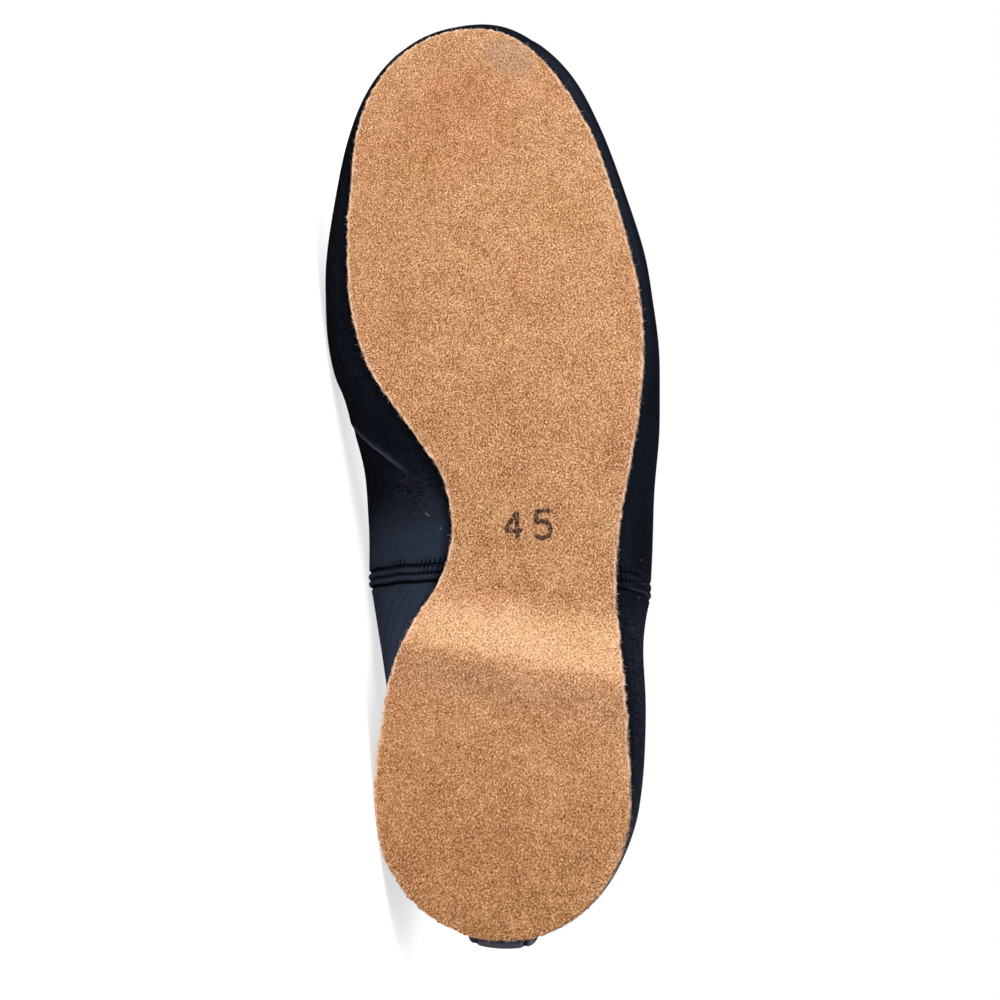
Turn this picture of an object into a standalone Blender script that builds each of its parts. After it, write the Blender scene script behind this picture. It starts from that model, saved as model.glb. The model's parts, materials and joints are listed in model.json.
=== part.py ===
"""A black leather jazz shoe for the left foot: a soft slip-on on a one-piece suede sole with a low heel.

The shoe is worked out as it stands on its sole: x runs from the heel to the toe, y to the outer side of the
foot and z up from the tread. It is then laid on its inner side, as it rests on a floor. Tables are in
millimetres, with a row for each station along the foot, and everything else is in metres.
"""

import math

import bmesh
import bpy
import numpy as np
from mathutils import Matrix, Vector

MM = 0.001

# Lengths along the foot.
UPPER_HEEL = 1.8 * MM
UPPER_TOE = 297.6 * MM
SOLE_HEEL = 4.5 * MM
SOLE_TOE = 290.2 * MM
SEAM = 107.5 * MM
THROAT = 152 * MM

# The heel's breast slopes up from the tread to the waist, further forward on the inner side.
BREAST = 78.5 * MM
BREAST_SLOPE = 0.36
BREAST_ROUND = 5 * MM
WAIST_ROUND = 1.2 * MM
BREAST_SLANT = 0.19
BREAST_CENTRE = 4 * MM
SLANT_STARTS = (30 * MM, 70 * MM)
SLANT_FADES = (105 * MM, 150 * MM)
HEEL_END = 97.5 * MM

# Thicknesses and gaps.
WALL = 1.4 * MM
SOLE_THICKNESS = 2.2 * MM
INSOLE_THICKNESS = 1.8 * MM
STRIP_THICKNESS = 1.8 * MM
GAP = 0.3 * MM

# The upper meets the sole a little inside its edge and turns in under the foot as the lasting margin.
FEATHER_INSET = 1.8 * MM
MARGIN = 12 * MM
INSOLE_INSET = 5 * MM
HEEL_INSET = 0.7 * MM

# How square the upper's lower round is: tight over a narrow overhang, near straight up the arch.
NARROW_OVERHANG, NARROW_POWER = 6 * MM, 2.3
WIDE_OVERHANG, WIDE_POWER = 30 * MM, 1.5

# How far back from its tips each outline is rounded, and how square the round is.
HEEL_REACH = 38 * MM
TOE_REACH = 50 * MM
TOE_CROWN_REACH = 34 * MM
HEEL_POWER = 2.05
TOE_POWER = 2.2

# The back of the heel leans forward above its fullest height and is drawn in below it.
LEAN = 7 * MM
LEAN_RISE = 41 * MM
LEAN_REACH = 75 * MM

# The vamp's edge stands proud of the quarter at the seam and settles into the form ahead of it.
SEAM_STEP = 0.9 * MM
SEAM_WIDTH = 1.2 * MM
SEAM_FADE = 22 * MM

# The back strip's half width, as a turn round the heel from the back seam.
STRIP_TURN = math.radians(16.5)

# Cells of the lofts.
STRIP_CELLS = 3
HEEL_CELLS = 8
FOOT_CELLS = 20
TOE_CELLS = 10
MARGIN_CELLS = 1
LOWER_CELLS = 5
WALL_CELLS = 8
SOLE_STATIONS = 44
HEEL_STATIONS = 18
SOLE_CELLS = 4

# Stations are set close behind the throat, and others keep clear of the ones that are set.
THROAT_STEPS = (5 * MM, 1.5 * MM, 0.0)
CLEAR_OF_FIXED = 3 * MM

# How far either side a table is averaged, so that its straight runs round into one another.
SOFTENING = 11 * MM


def table(columns, rows):
    """Named columns of a table in millimetres, as arrays in metres."""
    return dict(zip(columns, np.array(rows, float).T * MM))


# The sole's half widths on the inner and outer side of the foot's line, and the line that its ends close on.
SOLE = table(
    ("station", "inner", "outer", "middle"),
    (
        (0, 36.0, 36.2, 1.0),
        (50, 36.2, 36.6, 1.0),
        (75, 33.2, 35.6, 0.5),
        (94, 26.4, 33.4, 0.0),
        (106, 18.4, 33.4, 0.0),
        (121, 14.8, 34.6, -1.0),
        (138, 17.4, 38.4, -2.0),
        (154, 29.2, 41.6, -3.0),
        (172, 41.8, 43.8, -5.0),
        (192, 47.6, 42.9, -7.0),
        (215, 49.0, 38.2, -8.5),
        (240, 48.2, 31.4, -10.0),
        (262, 48.2, 24.4, -11.0),
        (291, 48.2, 18.5, -11.0),
    ),
)

# The upper: half widths where it is fullest, that height, the crown of the form, the open topline, and the
# line that its ends close on and the vamp's ridge follows.
UPPER = table(
    ("station", "inner", "outer", "fullest", "crown", "topline", "middle"),
    (
        (0, 34.6, 33.5, 26, 82, 65, -1.5),
        (25, 34.6, 36.0, 26, 81, 60, -1.5),
        (45, 34.6, 39.2, 26, 80, 56, -1.0),
        (70, 36.6, 41.4, 28, 78, 53, 0.0),
        (90, 42.4, 40.2, 35, 77, 53, 0.0),
        (110, 46.9, 43.2, 37, 76, 57, 0.0),
        (130, 47.4, 44.8, 36, 74, 64, -1.5),
        (150, 48.2, 46.8, 27, 69, 69, -3.0),
        (160, 49.8, 47.8, 19, 65, 65, -4.0),
        (172, 54.8, 48.3, 16, 60, 60, -5.0),
        (187, 58.2, 47.6, 15, 54, 54, -6.5),
        (205, 59.0, 45.6, 14, 48, 48, -8.0),
        (225, 57.4, 40.6, 14, 43, 43, -9.5),
        (247, 54.4, 34.0, 15, 38, 38, -11.0),
        (268, 52.2, 28.0, 16, 34, 34, -11.5),
        (299, 51.4, 22.0, 18, 30, 30, -11.5),
    ),
)

# Height of the upper's underside above the tread plane.
PROFILE = table(
    ("station", "seat"),
    (
        (0, 11.0),
        (98, 11.0),
        (115, 10.2),
        (135, 7.0),
        (152, 3.7),
        (165, 2.5),
        (210, 2.5),
        (224, 2.9),
        (246, 4.5),
        (270, 6.7),
        (299, 9.7),
    ),
)

# Colour, roughness and metallic value of each piece.
FINISHES = {
    "upper": ((0.012, 0.013, 0.017, 1), 0.42, 0.0),
    "outsole": ((0.46, 0.27, 0.14, 1), 0.95, 0.0),
    "heel": ((0.02, 0.018, 0.017, 1), 0.7, 0.0),
    "insole": ((0.05, 0.045, 0.042, 1), 0.85, 0.0),
    "back_strip": ((0.012, 0.013, 0.017, 1), 0.45, 0.0),
}


def along(columns, name, station):
    """A table's column at a station: straight between rows, averaged over the softening to either side."""
    steps = np.linspace(-1, 1, 13)
    weights = 1 - steps**2
    places = np.asarray(station)[..., None] + SOFTENING * steps
    return np.interp(places, columns["station"], columns[name]) @ weights / weights.sum()


def smooth(start, end, value):
    """A smooth step from 0 at start to 1 at end."""
    share = np.clip((value - start) / (end - start), 0, 1)
    return share * share * (3 - 2 * share)


def soft_rise(value, radius):
    """Zero below nothing and the value above it, with the corner rounded within the radius."""
    rounded = np.clip(value + radius, 0, 2 * radius) ** 2 / (4 * radius)
    return np.where(value > radius, value, rounded)


def end_arc(station, start, tip):
    """A quarter round's fall: 1 up to the start, 0 at the tip."""
    share = np.clip((station - start) / (tip - start), 0, 1)
    return np.sqrt(1 - share**2)


def round_ends(station, heel, toe, heel_reach, toe_reach):
    """The share of a half width that is left at a station: all of it along the foot, none at either tip."""
    back = np.clip((heel + heel_reach - station) / heel_reach, 0, 1)
    front = np.clip((station - toe + toe_reach) / toe_reach, 0, 1)
    return (1 - back**HEEL_POWER) ** (1 / HEEL_POWER) * (1 - front**TOE_POWER) ** (1 / TOE_POWER)


def edge_across(columns, station, side, inset, heel, toe):
    """Where an outline lies across the foot, drawn in all round by the inset. Side is -1 inner, 1 outer."""
    left = round_ends(station, heel + inset, toe - inset, HEEL_REACH - inset, TOE_REACH - inset)
    middle = along(columns, "middle", station)
    half = along(columns, "inner" if side < 0 else "outer", station) - inset - side * middle
    return middle + side * np.maximum(half, 0) * left


def sole_edge(station, side, inset=0.0):
    return edge_across(SOLE, station, side, inset, SOLE_HEEL, SOLE_TOE)


def upper_edge(station, side):
    return edge_across(UPPER, station, side, 0.0, UPPER_HEEL, UPPER_TOE)


def seat(station):
    return along(PROFILE, "seat", station)


def tread(station, x):
    """Height of the sole's underside: on the floor at the heel, up the breast, then along the upper's seat.

    Station is where the slanted line through the point crosses the foot's line, and x the point's own place.
    """
    waist = seat(x) - SOLE_THICKNESS - GAP
    breast = BREAST_SLOPE * soft_rise(station - BREAST, BREAST_ROUND)
    return waist - soft_rise(waist - breast, WAIST_ROUND)


def lower_power(overhang):
    """The power of the upper's lower round for how far it overhangs the feather line."""
    return NARROW_POWER + (WIDE_POWER - NARROW_POWER) * smooth(NARROW_OVERHANG, WIDE_OVERHANG, overhang)


def seam_lift(station):
    """How far the upper stands out for the lapped seam."""
    return np.where(station < SEAM, 0, SEAM_STEP * np.exp((SEAM - station) / SEAM_FADE))


def half_section(station, side):
    """One side of the upper's outside at a station, from the margin's inner edge up to the topline or ridge.

    The flat margin runs out to the feather line, a quarter superellipse rises from there to the fullest
    width, and a quarter ellipse leads from it towards the crown, cut short at the topline behind the throat.
    Near the heel the section leans forward above the fullest height, and is drawn in on a round below it.
    """
    heel_share = 1 - smooth(0, LEAN_REACH, station - UPPER_HEEL)
    draw_in = (SOLE_HEEL + FEATHER_INSET - UPPER_HEEL) * heel_share
    feather = sole_edge(station + draw_in, side, FEATHER_INSET)
    margin = sole_edge(station + draw_in, side, FEATHER_INSET + MARGIN)
    edge = upper_edge(station, side)
    middle = along(UPPER, "middle", station)
    fullest = along(UPPER, "fullest", station)
    depth = (fullest - seat(station)) * end_arc(station, SOLE_TOE - FEATHER_INSET, UPPER_TOE)
    height = along(UPPER, "crown", station) - fullest
    height = height * end_arc(station, UPPER_TOE - TOE_CROWN_REACH, UPPER_TOE)
    top = math.pi / 2
    if station < THROAT:
        top = np.arcsin(np.clip((along(UPPER, "topline", station) - fullest) / height, 0, 1))

    flat = np.linspace(0, 1, MARGIN_CELLS, endpoint=False)
    lower = np.linspace(math.pi / 2, 0, LOWER_CELLS, endpoint=False)
    wall = np.linspace(0, top, WALL_CELLS + 1)
    power = 2 / lower_power(abs(edge - feather))
    sunk = np.concatenate((np.ones_like(flat), np.sin(lower) ** power))
    y = np.concatenate(
        (
            margin + (feather - margin) * flat,
            feather + (edge - feather) * np.clip(np.cos(lower), 0, 1) ** power,
            middle + (edge - middle) * np.clip(np.cos(wall), 0, 1),
        )
    )
    rise = np.concatenate((-depth * sunk, height * np.sin(wall)))
    lean = LEAN * (height * np.sin(wall) / LEAN_RISE) ** 2 * heel_share
    x = station + np.concatenate((draw_in * (1 - np.sqrt(1 - sunk**2)), lean))

    slope_y, slope_z = np.gradient(y), np.gradient(rise)
    length = np.maximum(np.hypot(slope_y, slope_z), 1e-9)
    lift = seam_lift(station) * (np.arange(len(y)) > MARGIN_CELLS)
    y = y + lift * side * slope_z / length
    z = fullest + rise - lift * side * slope_y / length
    return np.stack((x, y, z), axis=1)


def upper_stations():
    """Stations even round the heel, along the foot and round the toe, with some set at the seam and throat."""
    strip = np.linspace(0, STRIP_TURN, STRIP_CELLS, endpoint=False)
    heel = np.linspace(STRIP_TURN, math.pi / 2, HEEL_CELLS, endpoint=False)
    toe = np.linspace(0, math.pi / 2, TOE_CELLS + 1)
    foot = np.linspace(UPPER_HEEL + HEEL_REACH, UPPER_TOE - TOE_REACH, FOOT_CELLS, endpoint=False)
    seam = [SEAM - SEAM_WIDTH / 2, SEAM + SEAM_WIDTH / 2]
    throat = [THROAT - step for step in THROAT_STEPS]
    fixed = [*seam, *throat]
    foot = [station for station in foot if min(abs(station - place) for place in fixed) > CLEAR_OF_FIXED]
    heel = UPPER_HEEL + HEEL_REACH * (1 - np.cos(np.concatenate((strip, heel))))
    toe = UPPER_TOE - TOE_REACH * (1 - np.sin(toe))
    return sorted([*heel, *foot, *fixed, *toe])


def loft(mesh, sections, closed=False, flip=False):
    """Adds the faces between successive sections, each a row of points, to a mesh under construction."""
    rows = [[mesh.verts.new(point) for point in section] for section in sections]
    count = len(rows[0])
    for near, far in zip(rows, rows[1:]):
        for first in range(count if closed else count - 1):
            second = (first + 1) % count
            corners = [near[first], far[first], far[second], near[second]]
            mesh.faces.new(corners[::-1] if flip else corners)
    return rows


def merge(mesh):
    bmesh.ops.remove_doubles(mesh, verts=mesh.verts, dist=1e-6)
    bmesh.ops.dissolve_degenerate(mesh, edges=mesh.edges, dist=1e-6)


def make_object(name, mesh):
    """Makes a construction mesh a smooth-shaded object."""
    data = bpy.data.meshes.new(name)
    mesh.to_mesh(data)
    mesh.free()
    data.shade_smooth()
    data.set_sharp_from_angle(angle=math.radians(50))
    return bpy.data.objects.new(name, data)


def thicken(part, thickness, offset):
    """Gives an open surface its thickness: offset -1 behind its faces, 1 in front of them."""
    shell = part.modifiers.new("Wall", "SOLIDIFY")
    shell.thickness = thickness
    shell.offset = offset
    shell.use_even_offset = True
    shell.use_quality_normals = True
    return part


def make_upper():
    mesh = bmesh.new()
    for side in (-1, 1):
        loft(mesh, [half_section(station, side) for station in upper_stations()], flip=side > 0)
    merge(mesh)
    return thicken(make_object("upper", mesh), WALL, -1)


def make_back_strip():
    """A strip of the upper's own surface over the back seam, standing off it by the gap."""
    mesh = bmesh.new()
    lowest = MARGIN_CELLS + 1
    stations = upper_stations()[: STRIP_CELLS + 1]
    for side in (-1, 1):
        loft(mesh, [half_section(station, side)[lowest:] for station in stations], flip=side > 0)
    merge(mesh)
    mesh.normal_update()
    for vertex in mesh.verts:
        vertex.co += vertex.normal * GAP
    return thicken(make_object("back_strip", mesh), STRIP_THICKNESS, 1)


def slanted(station, y):
    """The x of a point on a station's line, which follows the slant of the heel's breast near it."""
    share = smooth(*SLANT_STARTS, station) * (1 - smooth(*SLANT_FADES, station))
    return station - BREAST_SLANT * share * (y - BREAST_CENTRE)


def slanted_edge(station, side, inset):
    """Where a station's slanted line meets the sole's outline, found in a few steps."""
    y = sole_edge(station, side, inset)
    for _ in range(6):
        y = sole_edge(slanted(station, y), side, inset)
    return y


def make_slab(name, stations, inset, bottom, top):
    """A closed sheet between two heights, with the sole's outline drawn in by the inset."""
    sections = []
    for station in stations:
        ends = slanted_edge(station, -1, inset), slanted_edge(station, 1, inset)
        y = np.linspace(*ends, SOLE_CELLS + 1)
        x = slanted(station, y)
        low = np.stack((x, y, bottom(station, x)), axis=1)
        high = np.stack((x, y, top(station, x)), axis=1)
        sections.append(np.concatenate((low, high[::-1])))
    mesh = bmesh.new()
    rows = loft(mesh, sections, closed=True)
    mesh.faces.new(rows[0])
    mesh.faces.new(rows[-1])
    merge(mesh)
    bmesh.ops.recalc_face_normals(mesh, faces=mesh.faces)
    return make_object(name, mesh)


def tip_spaced(start, end, count, last_turn=math.pi):
    """Stations close together at the tips: at both ends, or with a last turn of half pi at the start only."""
    fall = 1 - np.cos(np.linspace(0, last_turn, count))
    return start + (end - start) * fall / fall[-1]


def make_outsole():
    stations = tip_spaced(SOLE_HEEL, SOLE_TOE, SOLE_STATIONS)

    def top(station, x):
        return tread(station, x) + SOLE_THICKNESS

    return make_slab("outsole", stations, 0.0, tread, top)


def make_heel():
    stations = tip_spaced(SOLE_HEEL + HEEL_INSET, HEEL_END, HEEL_STATIONS, math.pi / 2)
    lift = SOLE_THICKNESS + GAP

    def bottom(station, x):
        return tread(station, x) + lift

    def top(station, x):
        return seat(x) - GAP

    return make_slab("heel", stations, HEEL_INSET, bottom, top)


def make_insole():
    stations = tip_spaced(SOLE_HEEL + INSOLE_INSET, SOLE_TOE - INSOLE_INSET, SOLE_STATIONS)

    def bottom(station, x):
        return seat(x) + WALL + GAP

    def top(station, x):
        return bottom(station, x) + INSOLE_THICKNESS

    return make_slab("insole", stations, INSOLE_INSET, bottom, top)


def paint(part):
    """Gives a piece its own material."""
    colour, roughness, metallic = FINISHES[part.name]
    material = bpy.data.materials.new(part.name)
    material.use_nodes = True
    shader = material.node_tree.nodes["Principled BSDF"]
    shader.inputs["Base Color"].default_value = colour
    shader.inputs["Roughness"].default_value = roughness
    shader.inputs["Metallic"].default_value = metallic
    part.data.materials.append(material)


def points_and_centre(parts):
    """Every point of the finished pieces, and the centre of their volume."""
    bpy.context.view_layer.update()
    graph = bpy.context.evaluated_depsgraph_get()
    points, volume, moment = [], 0.0, np.zeros(3)
    for part in parts:
        solid = part.evaluated_get(graph).to_mesh()
        solid.calc_loop_triangles()
        places = np.array([vertex.co for vertex in solid.vertices])
        corners = places[np.array([face.vertices for face in solid.loop_triangles])]
        shares = np.linalg.det(corners) / 6
        volume += shares.sum()
        moment += shares @ corners.sum(axis=1) / 4
        points.append(places)
    return np.concatenate(points), Vector(moment / volume)


def resting_face(points, centre):
    """The outward direction of the flat on which the shoe lies on its inner side.

    Of the faces of the convex hull, it is the one whose edges stay furthest from the foot of the line that
    goes square to the face through the centre of volume.
    """
    hull = bmesh.new()
    for point in points:
        hull.verts.new(point)
    bmesh.ops.remove_doubles(hull, verts=hull.verts, dist=1e-6)
    made = bmesh.ops.convex_hull(hull, input=hull.verts)["geom"]
    hull.normal_update()
    inner_side = Vector((0, -1, 0))
    best, direction = 0.0, None
    for face in (item for item in made if isinstance(item, bmesh.types.BMFace)):
        reach = face.normal.dot(face.calc_center_median() - centre)
        foot = centre + face.normal * reach
        corners = [vertex.co for vertex in face.verts]
        inside = min(
            (after - before).normalized().cross(foot - before).dot(face.normal)
            for before, after in zip(corners, corners[1:] + corners[:1])
        )
        if abs(face.normal.dot(inner_side)) > 0.8 and inside > best:
            best, direction = inside, face.normal * math.copysign(1, reach)
    hull.free()
    return direction


def lay_down(parts):
    """An empty that turns the standing shoe onto its inner side, sole to the front, over the origin."""
    points, centre = points_and_centre(parts)
    up = -resting_face(points, centre)
    back = (Vector((0, 0, 1)) - up * up.z).normalized()
    turn = np.array([back.cross(up), back, up])
    turned = points @ turn.T
    low, high = turned.min(axis=0), turned.max(axis=0)
    place = -Vector(((low[0] + high[0]) / 2, (low[1] + high[1]) / 2, low[2]))
    holder = bpy.data.objects.new("shoe", None)
    holder.matrix_world = Matrix.Translation(place) @ Matrix(turn.tolist()).to_4x4()
    return holder


def main():
    for thing in list(bpy.data.objects):
        bpy.data.objects.remove(thing)
    shoe = bpy.data.collections.new("jazz_shoe")
    bpy.context.scene.collection.children.link(shoe)
    parts = [make_upper(), make_outsole(), make_heel(), make_insole(), make_back_strip()]
    for part in parts:
        paint(part)
        shoe.objects.link(part)
    holder = lay_down(parts)
    shoe.objects.link(holder)
    for part in parts:
        part.parent = holder


main()
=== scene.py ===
"""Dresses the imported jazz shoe: soft black leather over a napped suede sole, its seams, creases and light.

Shapes are worked out in the shoe's own frame, in millimetres, as it would stand on its sole: x runs from the
heel to the toe, y to the outer side of the foot and z up from the tread. Two mounts on the tread say where
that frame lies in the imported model, in which the shoe rests on its inner side.
"""

import json
import math

import bmesh
import bpy
import numpy as np
from mathutils import Matrix


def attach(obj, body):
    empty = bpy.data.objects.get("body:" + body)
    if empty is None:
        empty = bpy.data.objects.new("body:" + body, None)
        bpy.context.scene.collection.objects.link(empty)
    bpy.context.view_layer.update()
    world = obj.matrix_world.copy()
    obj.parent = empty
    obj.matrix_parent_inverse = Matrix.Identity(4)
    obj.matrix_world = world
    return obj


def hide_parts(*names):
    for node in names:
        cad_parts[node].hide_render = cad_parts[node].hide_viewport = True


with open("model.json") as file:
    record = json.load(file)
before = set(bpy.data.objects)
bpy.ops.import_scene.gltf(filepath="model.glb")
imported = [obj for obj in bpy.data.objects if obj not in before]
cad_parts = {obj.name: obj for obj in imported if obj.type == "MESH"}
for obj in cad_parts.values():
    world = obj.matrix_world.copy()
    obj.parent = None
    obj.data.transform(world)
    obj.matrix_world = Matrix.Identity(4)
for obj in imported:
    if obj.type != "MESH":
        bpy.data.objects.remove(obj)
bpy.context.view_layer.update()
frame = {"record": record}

MM = 0.001
HEEL_MOUNT = 40.0

# Values kept at a piece's points are in units of this many millimetres, with a side as a mark of this size.
PANEL = 100.0
SIDE_MARK = 10.0
NO_PANEL = (0.0, 0.0, 0.0)

# The inner and the outer side of the foot.
SIDES = (-1, 1)

# Lengths along the foot.
UPPER_HEEL, UPPER_TOE = 1.8, 297.6
SOLE_HEEL, SOLE_TOE = 4.5, 290.2
SEAM = 107.5
THROAT, THROAT_LIP = 152.0, 1.5

# The heel's breast slopes up from the tread to the waist, further forward on the inner side.
BREAST, BREAST_SLOPE, BREAST_ROUND, WAIST_ROUND = 78.5, 0.36, 5.0, 1.2
BREAST_SLANT, BREAST_CENTRE = 0.19, 4.0
SLANT_STARTS, SLANT_FADES = (30.0, 70.0), (105.0, 150.0)
HEEL_END = 97.5

# Thicknesses and gaps, and how high above the floor the leather starts to be pressed flat.
WALL = 1.4
FLOOR_PRESS = 0.4
SOLE_THICKNESS = 2.2
INSOLE_THICKNESS = 1.8
STRIP_THICKNESS = 1.8
GAP = 0.3

# The upper meets the sole a little inside its edge and turns in under the foot.
FEATHER_INSET, MARGIN = 1.8, 12.0
INSOLE_INSET, HEEL_INSET = 5.0, 0.7
NARROW_OVERHANG, NARROW_POWER = 6.0, 2.3
WIDE_OVERHANG, WIDE_POWER = 30.0, 1.5
TOE_NARROWS = (266.0, 285.0)

# How far back from its tips each outline is rounded, and how square the round is.
HEEL_REACH, TOE_REACH, TOE_CROWN_REACH = 38.0, 50.0, 34.0
HEEL_POWER, TOE_POWER = 2.05, 2.2
LEAN, LEAN_RISE, LEAN_REACH = 7.0, 41.0, 75.0

# How far either side a table is averaged, so that its straight runs round into one another.
SOFTENING = 11.0


def table(columns, rows):
    """Named columns of a table in millimetres."""
    return dict(zip(columns, np.array(rows, float).T))


# The sole's half widths on the inner and outer side of the foot's line, and the line that its ends close on.
SOLE = table(
    ("station", "inner", "outer", "middle"),
    (
        (0, 36.0, 36.2, 1.0),
        (50, 36.2, 36.6, 1.0),
        (75, 33.2, 35.6, 0.5),
        (94, 26.4, 33.4, 0.0),
        (106, 18.4, 33.4, 0.0),
        (121, 14.8, 34.6, -1.0),
        (138, 17.4, 38.4, -2.0),
        (154, 29.2, 41.6, -3.0),
        (172, 41.8, 43.8, -5.0),
        (192, 47.6, 42.9, -7.0),
        (215, 49.0, 38.2, -8.5),
        (240, 48.2, 31.4, -10.0),
        (262, 48.2, 24.4, -11.0),
        (291, 48.2, 18.5, -11.0),
    ),
)

# The upper: half widths where it is fullest, that height, the crown of the form, the open topline, and the
# line that its ends close on and the vamp's ridge follows.
UPPER = table(
    ("station", "inner", "outer", "fullest", "crown", "topline", "middle"),
    (
        (0, 34.6, 33.5, 26, 82, 65, -1.5),
        (25, 34.6, 36.0, 26, 81, 60, -1.5),
        (45, 34.6, 39.2, 26, 80, 56, -1.0),
        (70, 36.6, 41.4, 28, 78, 53, 0.0),
        (90, 42.4, 40.2, 35, 77, 53, 0.0),
        (110, 46.9, 43.2, 37, 76, 57, 0.0),
        (130, 47.4, 44.8, 36, 74, 64, -1.5),
        (150, 48.2, 46.8, 27, 69, 69, -3.0),
        (160, 49.8, 47.8, 19, 65, 65, -4.0),
        (172, 54.8, 48.3, 16, 60, 60, -5.0),
        (187, 58.2, 47.6, 15, 54, 54, -6.5),
        (205, 59.0, 45.6, 14, 48, 48, -8.0),
        (225, 57.4, 40.6, 14, 43, 43, -9.5),
        (247, 54.4, 34.0, 15, 38, 38, -11.0),
        (268, 52.2, 28.0, 16, 34, 34, -11.5),
        (299, 51.4, 22.0, 18, 30, 30, -11.5),
    ),
)

# Height of the upper's underside above the tread plane.
PROFILE = table(
    ("station", "seat"),
    (
        (0, 11.0),
        (98, 11.0),
        (115, 10.2),
        (135, 7.0),
        (152, 3.7),
        (165, 2.5),
        (210, 2.5),
        (224, 2.9),
        (246, 4.5),
        (270, 6.7),
        (299, 9.7),
    ),
)

# The lapped seam, placed by how far ahead of the vamp's edge. Ridges and grooves have a place, a height or
# depth and a width, and puckers a place and a reach. Each side has a line, as offset and slant up to a
# girth, and a swell behind it.
SEAM_STEP, SEAM_FADE, SEAM_LAP = 0.9, 22.0, 0.6
SEAM_RIDGES = ((1.2, 0.34, 0.62), (3.5, 0.26, 0.7))
SEAM_GROOVES = ((-0.1, 0.7, 0.4), (2.35, 0.6, 0.36), (4.85, 0.75, 0.45))
SEAM_BAND = (-6.0, 13.0)
SEAM_LINE, SEAM_SLANTED = {-1: (-1.3, 0.06), 1: (-5.0, 0.03)}, 45.0
QUARTER_SWELL = {-1: (0.45, 3.0), 1: (1.0, 6.0)}
PUCKER_PITCH, PUCKER_DEPTH = 1.6, 0.42
PUCKERS = ((3.2, 1.2), (5.7, 1.5))

# How the seam wavers along its girth, as height and length, and how its puckers do, with a start as well.
RIDGE_WAVER, RIDGE_WAVE = 0.15, 3.7
GROOVE_WAVER, GROOVE_WAVE = 0.12, 2.3
PUCKER_UNEVEN = ((0.45, 2.9, 0.0), (0.35, 1.7, 2.0))
PUCKER_WANDER = ((1.5, 4.3, 0.0), (0.9, 1.9, 1.0))

# The seam's band: how it fades in at its edges and under the binding, and how its edges are tucked in.
BAND_FADE, BAND_TOP = (1.0, 3.5), 8.0
BAND_TUCK, BAND_TUCK_WIDTH, BAND_TUCK_UNDER = 0.35, 1.2, 1.5

# Creases pressed into the leather: side of the shoe, path as station and girth, width, depth of the trough,
# and height of the ridge that stands along its left.
CREASES = (
    (-1, ((161, 30), (155.5, 25), (149.5, 22), (146.5, 19.6), (142, 16.8), (136.5, 13)), 1.7, 0.9, 1.0),
    (-1, ((176, 30), (164, 20), (154, 11)), 4.0, 0.3, 0.2),
    (-1, ((131, 4), (127, 13), (125, 27)), 2.2, 0.2, 0.1),
    (-1, ((105, 10), (96, 9.5), (86, 8)), 1.2, 0.28, 0.12),
    (-1, ((106, 15.5), (97, 14.5), (87, 11)), 1.4, 0.35, 0.15),
    (-1, ((106, 22), (98, 20), (84, 17)), 1.8, 0.3, 0.1),
    (1, ((106, 18), (95, 17), (84, 15)), 1.8, 0.3, 0.15),
    (1, ((150, 6), (140, 10), (128, 11)), 2.4, 0.3, 0.15),
    (-1, ((206, 40), (201, 56), (200, 76)), 5.0, 0.3, 0.15),
    (1, ((193, 18), (197, 40), (200, 62)), 5.0, 0.3, 0.15),
    (-1, ((192, 42), (186, 60), (184, 80)), 5.0, 0.3, 0.15),
    (1, ((176, 18), (181, 42), (184, 68)), 5.0, 0.3, 0.15),
)

# How far from its ends a crease fades, as a share of it, and how strong a painted highlight the crests of
# the higher ones get.
CREASE_FADE = 0.35
CREST_HIGHLIGHT, HIGHLIT_LIFTS = 0.75, (0.2, 0.9)

# Where the toe is fuller or flatter than its form: side, station, width, height, and girths it fades over.
TOE_FULLNESS = ((-1, 278.0, 18.0, -0.4), (1, 271.0, 15.0, 0.6))
TOE_FULL_FADES = (8.0, 28.0)

# The slack of soft leather: waves with a length along the foot, one up the girth and a start, their height,
# and how it sets in from heel, toe and sole.
SLACK_WAVES, SLACK_HEIGHT = ((9.0, 13.0, 0.0), (5.3, -8.0, 1.0), (15.0, -5.7, 2.0)), 0.11
SLACK_FROM_HEEL, SLACK_FROM_TOE = (0.0, 20.0), (15.0, 45.0)
RELIEF_FROM_SOLE = (0.5, 6.0)

# Stitching: pitch, length of each stitch and radius of the thread.
SEAM_STITCH = (PUCKER_PITCH, 1.05, 0.17)
EDGE_STITCH = (2.1, 1.5, 0.2)

# The bound topline: how far it reaches down the wall and stands off it, where its legs turn over the edge
# and in at the hem, its sewn groove, and its points round the topline, up a leg and over the edge.
BINDING_DROP, BINDING_LIFT = 5.0, 0.45
BINDING_SHOULDER, BINDING_HEM = 0.6, 0.3
BINDING_SEAM, BINDING_GROOVE, BINDING_GROOVE_WIDTH, BINDING_STITCH_SUNK = 2.9, 0.22, 0.4, 0.2
BINDING_STEPS, BINDING_LEG, BINDING_OVER = 360, 7, 9

# The place on the upper whose plain leather the binding is made of: station, girth and mark of the side.
BINDING_PANEL = (200.0, 80.0, SIDE_MARK)


def along(columns, name, station):
    """A table's column at a station: straight between rows, averaged over the softening to either side."""
    steps = np.linspace(-1, 1, 13)
    weights = 1 - steps**2
    places = np.asarray(station)[..., None] + SOFTENING * steps
    return np.interp(places, columns["station"], columns[name]) @ weights / weights.sum()


def smooth(start, end, value):
    """A smooth step from 0 at start to 1 at end."""
    share = np.clip((value - start) / (end - start), 0, 1)
    return share * share * (3 - 2 * share)


def bell(value, centre, width):
    """A bell of height 1 about a centre."""
    return np.exp(-(((value - centre) / width) ** 2))


def unit(vectors):
    """Vectors brought to a length of 1."""
    return vectors / np.maximum(np.linalg.norm(vectors, axis=-1, keepdims=True), 1e-9)


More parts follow.
